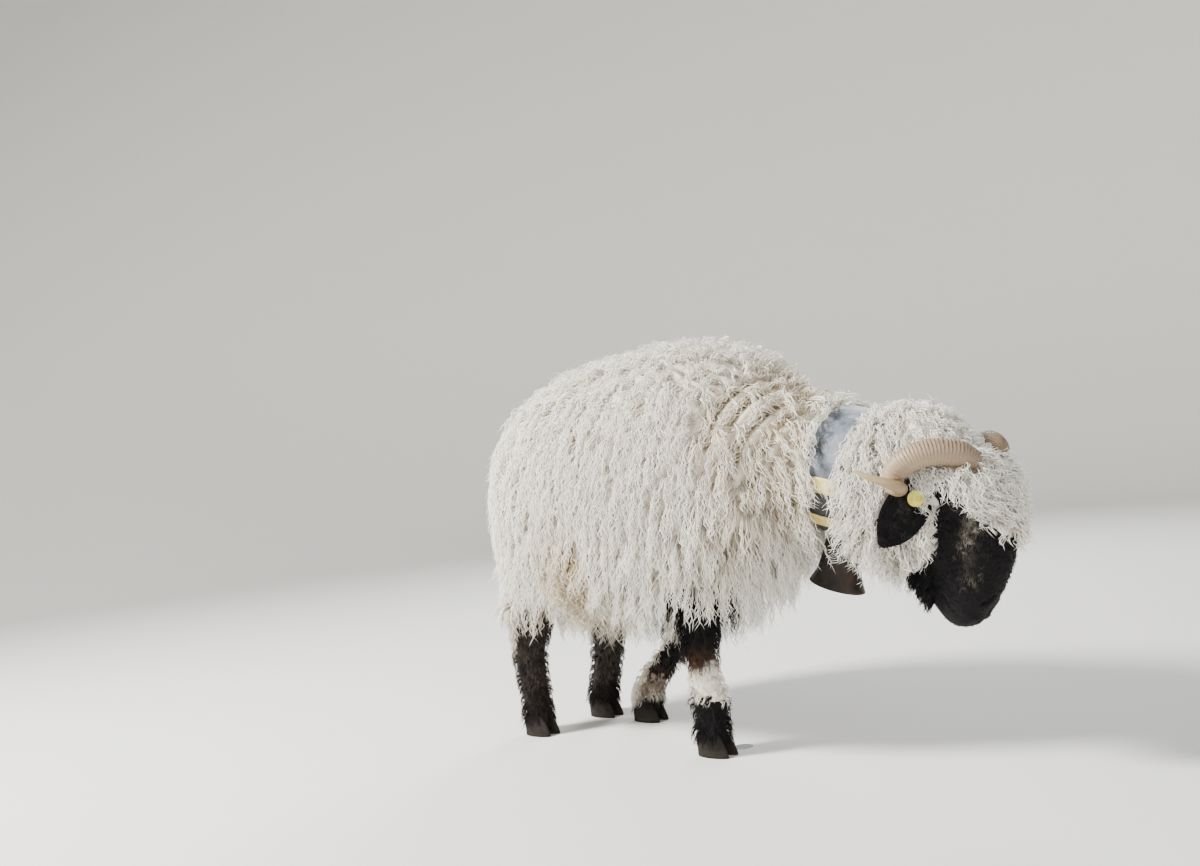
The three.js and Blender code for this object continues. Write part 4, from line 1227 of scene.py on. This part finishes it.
def wool_material(name, strands):
    """Wool whose colour follows the markings, painted shade and painted light among them; strands also fade
    from root to tip, darkened toward the root by painted shade, and the skin under them takes a fixed share
    of that painted shade.
    """
    made, tree, shader = new_material(name)
    split = add(tree, "ShaderNodeSeparateColor", {"Color": attribute(tree, "marks", "Color")})
    dark, cream_and_shade, grey_and_lit = split.outputs
    rust = attribute(tree, "marks", "Alpha")
    patchy = noise(tree, 9.0, 4.0, 0.6)
    fine = noise(tree, 140.0, 3.0, 0.6)
    chance = attribute(tree, "chance") if strands else fine
    along = attribute(tree, "along")
    yellow = maths(tree, "ADD", cream_and_shade, between(tree, patchy, 0.56, 1.1))
    toward_root = maths(tree, "SUBTRACT", 1.15, maths(tree, "MULTIPLY", along, 0.7))
    yellow = maths(tree, "MULTIPLY", yellow, toward_root)
    # Creamy yellow from the markings, with painted shade of the shoulder's wrinkles among it.
    white = mix(tree, maths(tree, "MULTIPLY", yellow, 0.8), WHITE_WOOL, CREAM_AND_SHADE_WOOL)
    white = mix(tree, between(tree, chance, 0.75, 1.5), white, DULL_WOOL)
    # Painted shade: ROOT_SHADE multiplies the colour toward each strand's root, and over the skin by a fixed
    # share.
    root_lit_share = between(tree, along, -1.1, 0.55) if strands else 0.62
    white = mix(tree, maths(tree, "SUBTRACT", 1.0, root_lit_share), white, ROOT_SHADE, "MULTIPLY")
    white = mix(tree, rust, white, RUST_WOOL)
    wander = maths(tree, "MULTIPLY", maths(tree, "SUBTRACT", chance, 0.5), 0.5)
    ragged = between(tree, maths(tree, "ADD", dark, wander), 0.42, 0.58)
    # Grey share: real grey on the legs, painted light on the cheek, painted sheen on the ears.
    pale_and_lit = between(tree, maths(tree, "MULTIPLY", grey_and_lit, chance), 0.08, 0.62)
    black = mix(tree, maths(tree, "MULTIPLY", pale_and_lit, 0.75), BLACK_WOOL, GREY_AND_LIT_WOOL)
    black = mix(tree, maths(tree, "MULTIPLY", rust, 0.5), black, RUST_WOOL)
    colour = mix(tree, ragged, white, black)
    finish_material(tree, shader, colour, 0.78, None if strands else fine, 0.6, 0.002)
    shader.inputs["Sheen Weight"].default_value = 0.04
    shader.inputs["Sheen Roughness"].default_value = 0.5
    shader.inputs["Specular IOR Level"].default_value = 0.1
    return made


def attribute_marks(skin):
    places, _ = read_mesh(skin.data)
    point_values(skin.data, "marks", markings(places, ear_flags(skin)), "FLOAT_COLOR")
    point_values(skin.data, "along", np.zeros(len(places)))


# Horns: colours from base to tip, the darker stop at 0.68 being painted shade where the horn curls down, and
# those of the streaks and of the grooves.
HORN_COLOURS_AND_SHADE = [
    (0.0, rgb(0.23, 0.16, 0.10)),
    (0.3, rgb(0.35, 0.25, 0.16)),
    (0.5, rgb(0.40, 0.28, 0.18)),
    # Painted shade on the part that curls down and in.
    (0.68, rgb(0.25, 0.17, 0.09)),
    (0.85, rgb(0.34, 0.25, 0.12)),
    (1.0, rgb(0.38, 0.29, 0.16)),
]
HORN_STREAK = rgb(0.30, 0.22, 0.15)
HORN_GROOVE = rgb(0.05, 0.033, 0.022)


def horn_form(side, sign):
    """A ringed horn, with two numbers a point: how far along it lies, and how far over the top."""
    rings, sides = RINGS["horn"], SIDES["horn"]
    line = spline([mirrored(point, sign) for point in HORN_LINES[side]], rings)
    t = np.linspace(0, 1, rings)
    radius = HORN["radius"] * (1 - t) ** 0.85 * (0.72 + 0.28 * smoothstep(0, 0.09, t)) + HORN["tip"]
    radius = radius + 4 * np.exp(-(((t - 0.32) / 0.2) ** 2))
    teeth = np.abs(np.sin(math.pi * HORN["ridges"] * t)) ** 0.7
    radius = radius + HORN["ridge"] * teeth * smoothstep(0.66, 0.5, t)
    verts, faces = loft(line, radius * HORN["flat"], radius, sides, UP)
    over = np.tile(np.sin(turns(sides)), rings)
    return verts, faces, np.append(np.repeat(t, sides), [0, 1]), np.append(over, [0, 0])


def horn_material():
    made, tree, shader = new_material("horn")
    grown, over = attribute(tree, "grown"), attribute(tree, "over")
    wavy = maths(tree, "MULTIPLY", noise(tree, 75.0, 3.0, 0.6), 4.5)
    turn = maths(tree, "ADD", maths(tree, "MULTIPLY", grown, math.pi * HORN["ridges"]), wavy)
    groove = between(tree, maths(tree, "ABSOLUTE", maths(tree, "SINE", turn)), 0.6, 0.0)
    fade = maths(tree, "MULTIPLY", between(tree, grown, 0.52, 0.3), between(tree, over, -0.5, 0.5))
    base = ramp(tree, grown, HORN_COLOURS_AND_SHADE)
    streak = noise(tree, 60.0, 4.0, 0.6, (1, 1, 6))
    base = mix(tree, between(tree, streak, 0.45, 0.9), base, HORN_STREAK)
    colour = mix(tree, maths(tree, "MULTIPLY", groove, fade), base, HORN_GROOVE)
    finish_material(tree, shader, colour, between(tree, streak, -0.6, 1.6), streak, 0.25, 0.0008)
    return made


# Hooves: height, how far ahead, how far apart, half length and half width of a claw.
CLAW = [
    (0.0, 4, 15.0, 36.5, 15.2),
    (1.2, 4, 15.0, 37.0, 15.6),
    (8, 3, 14.8, 36.2, 15.4),
    (20, 0, 14.5, 34.0, 15.0),
    (32, -3.6, 13.6, 30.6, 14.4),
    (HOOF_HEIGHT, -5, 13.0, 28.5, 13.6),
    (HOOF_HEIGHT + 6, -6.5, 12.0, 25.0, 12.0),
]


def claw_form(x, y, side):
    """One claw: a rounded wedge, pointed in front, flat below."""
    rows = []
    for z, ahead, apart, long, wide in CLAW:
        ring = []
        for turn in turns(SIDES["claw"]):
            c, s = math.cos(turn), math.sin(turn)
            taper = 1 - 0.34 * (0.5 + 0.5 * c) ** 2.2
            inner = 1.0 if s * side > 0 else 0.92
            ring.append((x + ahead + long * c, y + side * apart + wide * s * taper * inner, z))
        rows.append(ring)
    return skinned(np.array(rows))


def hoof_material():
    made, tree, shader = new_material("hoof")
    inputs = {"Vector": object_place(tree), "Scale": 42.0, "Distortion": 3.0, "Detail": 2.0}
    bands = add(tree, "ShaderNodeTexWave", inputs, bands_direction="Z").outputs["Fac"]
    grime = noise(tree, 70.0, 4.0, 0.6)
    colour = ramp(tree, grime, [(0.3, rgb(0.007, 0.006, 0.0055)), (0.7, rgb(0.024, 0.018, 0.014))])
    finish_material(tree, shader, colour, between(tree, grime, -1.4, 1.0), bands, 0.3, 0.001)
    shader.inputs["Specular IOR Level"].default_value = 0.22
    return made


# Eyes
def eye_frame(sign):
    """Which way an eye looks, and the ahead and up directions across that."""
    looks = unit(mirrored(EYE_LOOKS, sign))
    ahead = unit(np.cross(UP, looks))
    return looks, ahead, np.cross(looks, ahead)


def eye_form(sign):
    """A ball with poles along its look, bulged a little at the cornea."""
    looks, ahead, rise = eye_frame(sign)
    rows = []
    for down in np.linspace(0.02, math.pi - 0.02, RINGS["eye"]):
        radius = EYE_RADIUS + 0.9 * math.exp(-((down / 0.5) ** 2))
        ring = []
        for a in turns(SIDES["eye"]):
            way = looks * math.cos(down) + math.sin(down) * (ahead * math.cos(a) + rise * math.sin(a))
            ring.append(mirrored(EYE_AT, sign) + radius * way)
        rows.append(ring)
    return skinned(np.array(rows))


def eye_material(sign):
    """Brown iris with a wide level pupil, drawn by distances from the middle of the look."""
    made, tree, shader = new_material("eye_%s" % ("left" if sign > 0 else "right"))
    centre = mirrored(EYE_AT, sign) * MM + np.array([SHIFT, 0, 0])
    local = {0: object_place(tree), 1: tuple(centre)}
    local = add(tree, "ShaderNodeVectorMath", local, operation="SUBTRACT").outputs[0]

    def part(direction):
        inputs = {0: local, 1: tuple(direction)}
        return add(tree, "ShaderNodeVectorMath", inputs, operation="DOT_PRODUCT").outputs["Value"]

    def size(a, b):
        square = maths(tree, "ADD", maths(tree, "MULTIPLY", a, a), maths(tree, "MULTIPLY", b, b))
        return maths(tree, "SQRT", square)

    _, ahead, rise = eye_frame(sign)
    u, v = part(ahead), part(rise)
    iris = size(u, v)
    pupil = size(u, maths(tree, "MULTIPLY", v, 2.3))
    rays = noise(tree, 900.0, 3.0, 0.6)
    brown = ramp(tree, rays, [(0.3, rgb(0.022, 0.011, 0.005)), (0.7, rgb(0.075, 0.038, 0.013))])
    white = mix(tree, between(tree, iris, 0.0086, 0.0093), brown, rgb(0.03, 0.022, 0.018))
    colour = mix(tree, between(tree, pupil, 0.0064, 0.0058), white, rgb(0.002, 0.002, 0.003))
    finish_material(tree, shader, colour, 0.12)
    shader.inputs["Coat Weight"].default_value = 1.0
    shader.inputs["Coat Roughness"].default_value = 0.03
    return made


# Collar, bands, bell and tag
def round_neck(offset, turn, half, tall):
    """A point round the neck at a distance along the collar's axis."""
    centre = COLLAR_CENTRE + COLLAR_AXIS * offset
    return centre + LEFT * math.cos(turn) * half + COLLAR_RISE * math.sin(turn) * tall


def strap_profile(width, thick, edge):
    """Closed outline of a strap: offset along the axis and height over the inner face."""
    w, top = width / 2, thick + 0.3
    left = [(-w, 0.4), (-w, thick - edge), (-w + edge, thick), (-w * 0.5, top), (0, top)]
    right = [(w * 0.5, top), (w - edge, thick), (w, thick - edge), (w, 0.4)]
    return left + right + [(w * 0.5, 0), (-w * 0.5, 0)]


def strap_form():
    half, tall = COLLAR["half"], COLLAR["tall"]
    profile = strap_profile(COLLAR["width"], COLLAR["thick"] - 0.5, 1.6)
    rows = []
    for turn in turns(SIDES["strap"]):
        rows.append([round_neck(offset, turn, half + rise, tall + rise) for offset, rise in profile])
    return skinned(np.array(rows + rows[:1]), closed_ends=False)


def band_form(height, sign, arch):
    """A curved plate over the strap, its corners rounded and its edge arched."""
    half, tall = COLLAR["half"] + COLLAR["thick"] + 0.4, COLLAR["tall"] + COLLAR["thick"] + 0.4
    wide = COLLAR["width"] / 2 + BANDS["over"]
    rows = []
    for offset in np.linspace(-wide, wide, RINGS["band"]):
        edge = 1 - (abs(offset) / wide) ** 8 * 0.45
        bend = arch * (1 - (offset / wide) ** 2)
        middle = math.asin(max(-1, min(1, (height - COLLAR["z"] + bend) / tall)))
        span = BANDS["tall"] / tall * 0.5 * edge
        ring = []
        for outer in (1, 0):
            steps = np.linspace(-1, 1, 9)
            for s in steps if outer else steps[::-1]:
                turn = middle + span * s
                lift = outer * BANDS["thick"] * (1 - 0.25 * abs(s) ** 4)
                place = round_neck(offset, turn, half + lift, tall + lift)
                ring.append((place[0], place[1] * sign, place[2]))
        rows.append(ring)
    return skinned(np.array(rows))


def hung(points):
    """Turns a shape drawn upright under its top point so that it leans with the bell."""
    x, y, z = (np.asarray(points, dtype=float) * np.array([1, BELL["flat"], 1])).T
    c, s = math.cos(BELL["lean"]), math.sin(BELL["lean"])
    return np.column_stack([x * c + z * s, y, -x * s + z * c]) + np.array(BELL["top"])


def lathe(profile, sides):
    rows = []
    for r, z in profile:
        turn = turns(sides)
        rows.append(np.column_stack([r * np.cos(turn), r * np.sin(turn), np.full(sides, z)]))
    return skinned(np.array(rows), closed_ends=False)


def bell_form():
    height, mouth, crown, wall = BELL["height"], BELL["mouth"], BELL["crown"], BELL["wall"]
    outer = [(0.5, 1.0), (crown * 0.5, 0.6), (crown * 0.8, -1.5), (crown * 0.97, -6), (crown + 0.5, -14),
             (crown + 2, -height * 0.35), (crown + 5, -height * 0.6), (crown + 11, -height * 0.8),
             (mouth - 1.5, -height * 0.96), (mouth, -height), (mouth - wall, -height)]
    inner = [(r - wall if r > 4 else r, z - (wall if z > -10 else 0)) for r, z in outer[:-2]][::-1]
    profile = spline(outer, 40).tolist() + spline(inner, 30).tolist()
    verts, faces = lathe(profile, SIDES["bell"])
    return hung(verts), faces


def staple_form():
    """The iron loop between strap and bell."""
    rows = []
    for t in np.linspace(0, 1, STAPLE["rings"]):
        turn = math.pi * t
        out = np.array([math.cos(turn), 0, math.sin(turn)])
        rise = STAPLE["rise"] * math.sin(turn) ** 0.8 - STAPLE["sink"]
        centre = np.array([STAPLE["radius"] * math.cos(turn), 0, rise])
        ring = []
        for a in turns(STAPLE["sides"]):
            ring.append(centre + out * STAPLE["thick"] * math.cos(a) + LEFT * STAPLE["wide"] * math.sin(a))
        rows.append(ring)
    verts, faces = skinned(np.array(rows))
    return hung(verts), faces


def clapper_form():
    rod, ball, drop = CLAPPER["rod"], CLAPPER["ball"], CLAPPER["drop"]
    profile = [(0.3, -4), (rod, -4.5), (rod, -drop + ball * 1.2)]
    bulge = np.linspace(0.5, math.pi - 0.03, 14)
    profile += [(ball * math.sin(a), -drop + ball * math.cos(a)) for a in bulge]
    verts, faces = lathe(profile, SIDES["clapper"])
    return hung(verts), faces


def tag_form():
    """Front disc, pin and back disc, with softened rims."""
    base, tip, lead = ear_frame(-1)
    at = base + (tip - base) * TAG["along"]
    across = unit(np.cross(lead, UP))
    rise = np.cross(across, lead)
    radius, reach, edge = TAG["radius"], TAG["reach"], TAG["edge"]
    half, small = TAG["thick"] / 2, TAG["radius"] * TAG["back"]
    front = [(0.3, half + 0.5), (3.0, half + 0.5), (3.6, half), (radius - edge, half), (radius, 0.3)]
    front += [(radius, -0.3), (radius - edge, -half), (3.2, -half)]
    rear = [(3.2, half), (small - edge, half), (small, 0), (small - edge, -half), (0.3, -half)]
    profile = [(r, reach + out) for r, out in front] + [(2.8, 0)] + [(r, out - reach) for r, out in rear]
    turn = turns(SIDES["tag"])
    rows = [at + lead * out + np.outer(np.cos(turn) * r, across) + np.outer(np.sin(turn) * r, rise)
            for r, out in profile]
    return skinned(np.array(rows))


def strap_material():
    made, tree, shader = new_material("strap")
    worn = noise(tree, 22.0, 6.0, 0.65)
    grain = noise(tree, 260.0, 3.0, 0.6)
    height = add(tree, "ShaderNodeSeparateXYZ", {0: object_place(tree)}).outputs["Z"]
    # Painted light: the strap turns paler blue-grey toward its top, from 0.50 m to 0.57 m up, where the sun
    # falls, mixed with real fading of the leather.
    faded_and_sunlit = maths(tree, "MULTIPLY", between(tree, height, 0.50, 0.57), between(tree, worn, 0.30, 0.62))
    dark = mix(tree, between(tree, grain, 0.4, 0.8), rgb(0.014, 0.014, 0.017), rgb(0.035, 0.035, 0.04))
    pale_and_lit = mix(tree, between(tree, worn, 0.4, 0.75), rgb(0.16, 0.19, 0.24), rgb(0.34, 0.38, 0.44))
    colour = mix(tree, faded_and_sunlit, dark, pale_and_lit)
    finish_material(tree, shader, colour, between(tree, worn, -0.2, 1.1), grain, 0.35, 0.0008)
    return made


def band_material():
    made, tree, shader = new_material("band")
    stain = noise(tree, 45.0, 5.0, 0.65)
    fine = noise(tree, 300.0, 2.0, 0.5)
    colour = ramp(tree, stain, [(0.25, rgb(0.28, 0.20, 0.06)), (0.45, rgb(0.62, 0.50, 0.16)),
                                (0.7, rgb(0.74, 0.64, 0.26))])
    finish_material(tree, shader, colour, between(tree, stain, -0.4, 1.6), fine, 0.2, 0.0006)
    return made


def steel_material():
    made, tree, shader = new_material("bell_steel")
    blotch = noise(tree, 26.0, 6.0, 0.68)
    inputs = {"Vector": object_place(tree), "Scale": 85.0}
    dents = add(tree, "ShaderNodeTexVoronoi", inputs, feature="SMOOTH_F1").outputs["Distance"]
    colour = ramp(tree, blotch, [(0.3, rgb(0.010, 0.009, 0.009)), (0.55, rgb(0.026, 0.020, 0.017)),
                                 (0.72, rgb(0.085, 0.040, 0.022))])
    finish_material(tree, shader, colour, between(tree, blotch, 0.1, 0.95), dents, 0.35, 0.0016)
    shader.inputs["Metallic"].default_value = 0.55
    return made


def tag_material():
    made, tree, shader = new_material("tag")
    grime = noise(tree, 110.0, 4.0, 0.6)
    colour = ramp(tree, grime, [(0.3, rgb(0.42, 0.36, 0.05)), (0.6, rgb(0.72, 0.66, 0.10))])
    finish_material(tree, shader, colour, 0.42, grime, 0.1, 0.0004)
    return made


# Assembly
def place_piece(piece, material, slot, *nodes):
    places, _ = read_mesh(piece.data)
    places[:, 0] += SHIFT
    write_mesh(piece.data, places)
    piece.data.materials.clear()
    piece.data.materials.append(material)
    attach(piece, "root")
    if nodes:
        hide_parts(*nodes)


def hard_piece(name, form, material, slot, node):
    verts, faces = form
    piece = mesh_object(name, verts * MM, faces)
    place_piece(piece, material, slot, node)
    return piece


skin = make_skin()
attribute_marks(skin)
coat = grow_coat(skin)
FLESH = ["torso", "neck", "head", "tail", "ear_right", "ear_left"] + ["leg_" + name for name in LEGS]
place_piece(skin, wool_material("skin", False), "fleece", *FLESH)
wool = wool_material("wool", True)
SLOTS = {"face": "black_wool", "ear": "black_wool", "jaw": "black_wool", "leg": "leg_wool"}
for piece, kind in coat:
    place_piece(piece, wool, SLOTS.get(kind, "fleece"))

horn = horn_material()
hoof = hoof_material()
for side, sign in FLANKS:
    verts, faces, grown, over = horn_form(side, sign)
    piece = hard_piece("horn_piece_" + side, (verts, faces), horn, "horn", "horn_" + side)
    point_values(piece.data, "grown", grown)
    point_values(piece.data, "over", over)
    hard_piece("eyeball_" + side, eye_form(sign), eye_material(sign), "eye", "eye_" + side)
for name, (x, y) in SOLES.items():
    claws = merged([claw_form(x, y, side) for side in (-1, 1)])
    hard_piece("claws_" + name, claws, hoof, "hoof", "hoof_" + name)

band = band_material()
steel = steel_material()
hard_piece("strap", strap_form(), strap_material(), "collar", "collar_strap")
for side, sign in FLANKS:
    for level, arch in (("upper", 5), ("lower", -5)):
        form = band_form(BANDS[level], sign, arch)
        hard_piece("band_%s_%s" % (level, side), form, band, "band", "collar_band_%s_%s" % (level, side))
hard_piece("bell_piece", merged([bell_form(), staple_form()]), steel, "bell_steel", "bell")
hard_piece("clapper_piece", clapper_form(), steel, "bell_steel", "bell_clapper")
hard_piece("tag_piece", tag_form(), tag_material(), "tag", "ear_tag")


# Stage, in metres: floor, lights and camera
FLOOR = {"reach": 5.2, "bend": 1.6, "edge": 6.8, "top": 7.5, "sink": 0.0005}


def stage_floor():
    """A round floor whose far edge sweeps up into a plain backdrop."""
    reach, bend, edge = FLOOR["reach"], FLOOR["bend"], FLOOR["edge"]
    sweep = np.linspace(0.1, math.pi / 2, 12)
    profile = [(0.02, 0.0), (3.0, 0.0), (reach, 0.0)]
    profile += [(reach + bend * math.sin(a), bend - bend * math.cos(a)) for a in sweep]
    profile += [(edge, 3.4), (edge, FLOOR["top"])]
    verts, faces = lathe([(r, z - FLOOR["sink"]) for r, z in profile], SIDES["floor"])
    floor = mesh_object("floor", verts, faces)
    made, _, shader = new_material("floor")
    shader.inputs["Base Color"].default_value = rgb(0.70, 0.70, 0.68)
    shader.inputs["Roughness"].default_value = 0.9
    floor.data.materials.append(made)


def area_light(name, place, target, size, power, colour):
    lamp = bpy.data.lights.new(name, "AREA")
    lamp.shape = "DISK"
    lamp.size = size
    lamp.energy = power
    lamp.color = colour
    thing = new_object(name, lamp)
    thing.location = place
    thing.rotation_euler = (Vector(target) - Vector(place)).to_track_quat("-Z", "Y").to_euler()


# Camera: fitted to the photograph, its place in metres from the tables' origin.
CAMERA_PLACE = (1.572, -1.823, 0.627)
CAMERA_RIGHT = (0.720, 0.687, -0.101)
CAMERA_AHEAD = (-0.690, 0.724, 0.011)
LENS = 34.5
SENSOR = 36.0


def stage_camera():
    lens = bpy.data.cameras.new("camera")
    lens.lens = LENS
    lens.sensor_width = SENSOR
    lens.sensor_fit = "HORIZONTAL"
    thing = new_object("camera", lens)
    back = unit(-np.array(CAMERA_AHEAD))
    right = unit(np.array(CAMERA_RIGHT) - back * (np.array(CAMERA_RIGHT) @ back))
    up = np.cross(back, right)
    place = np.array(CAMERA_PLACE) + np.array([SHIFT, 0, 0])
    rows = [[right[i], up[i], back[i], place[i]] for i in range(3)] + [[0, 0, 0, 1]]
    thing.matrix_world = Matrix([[float(v) for v in row] for row in rows])
    bpy.context.scene.camera = thing


stage_floor()
area_light("key", (-2.2, -2.8, 3.4), (0.1, 0, 0.4), 1.0, 720, (1.0, 0.97, 0.92))
area_light("fill", (3.4, -2.2, 1.8), (0.2, 0, 0.4), 2.4, 55, (0.94, 0.97, 1.0))
area_light("rim", (-1.4, 3.0, 2.6), (0.0, 0, 0.5), 1.8, 120, (1.0, 1.0, 1.0))
stage_camera()
world = bpy.data.worlds.new("studio")
world.use_nodes = True
sky = world.node_tree.nodes["Background"].inputs
sky["Color"].default_value = rgb(0.90, 0.93, 0.97)
sky["Strength"].default_value = 0.42
bpy.context.scene.world = world
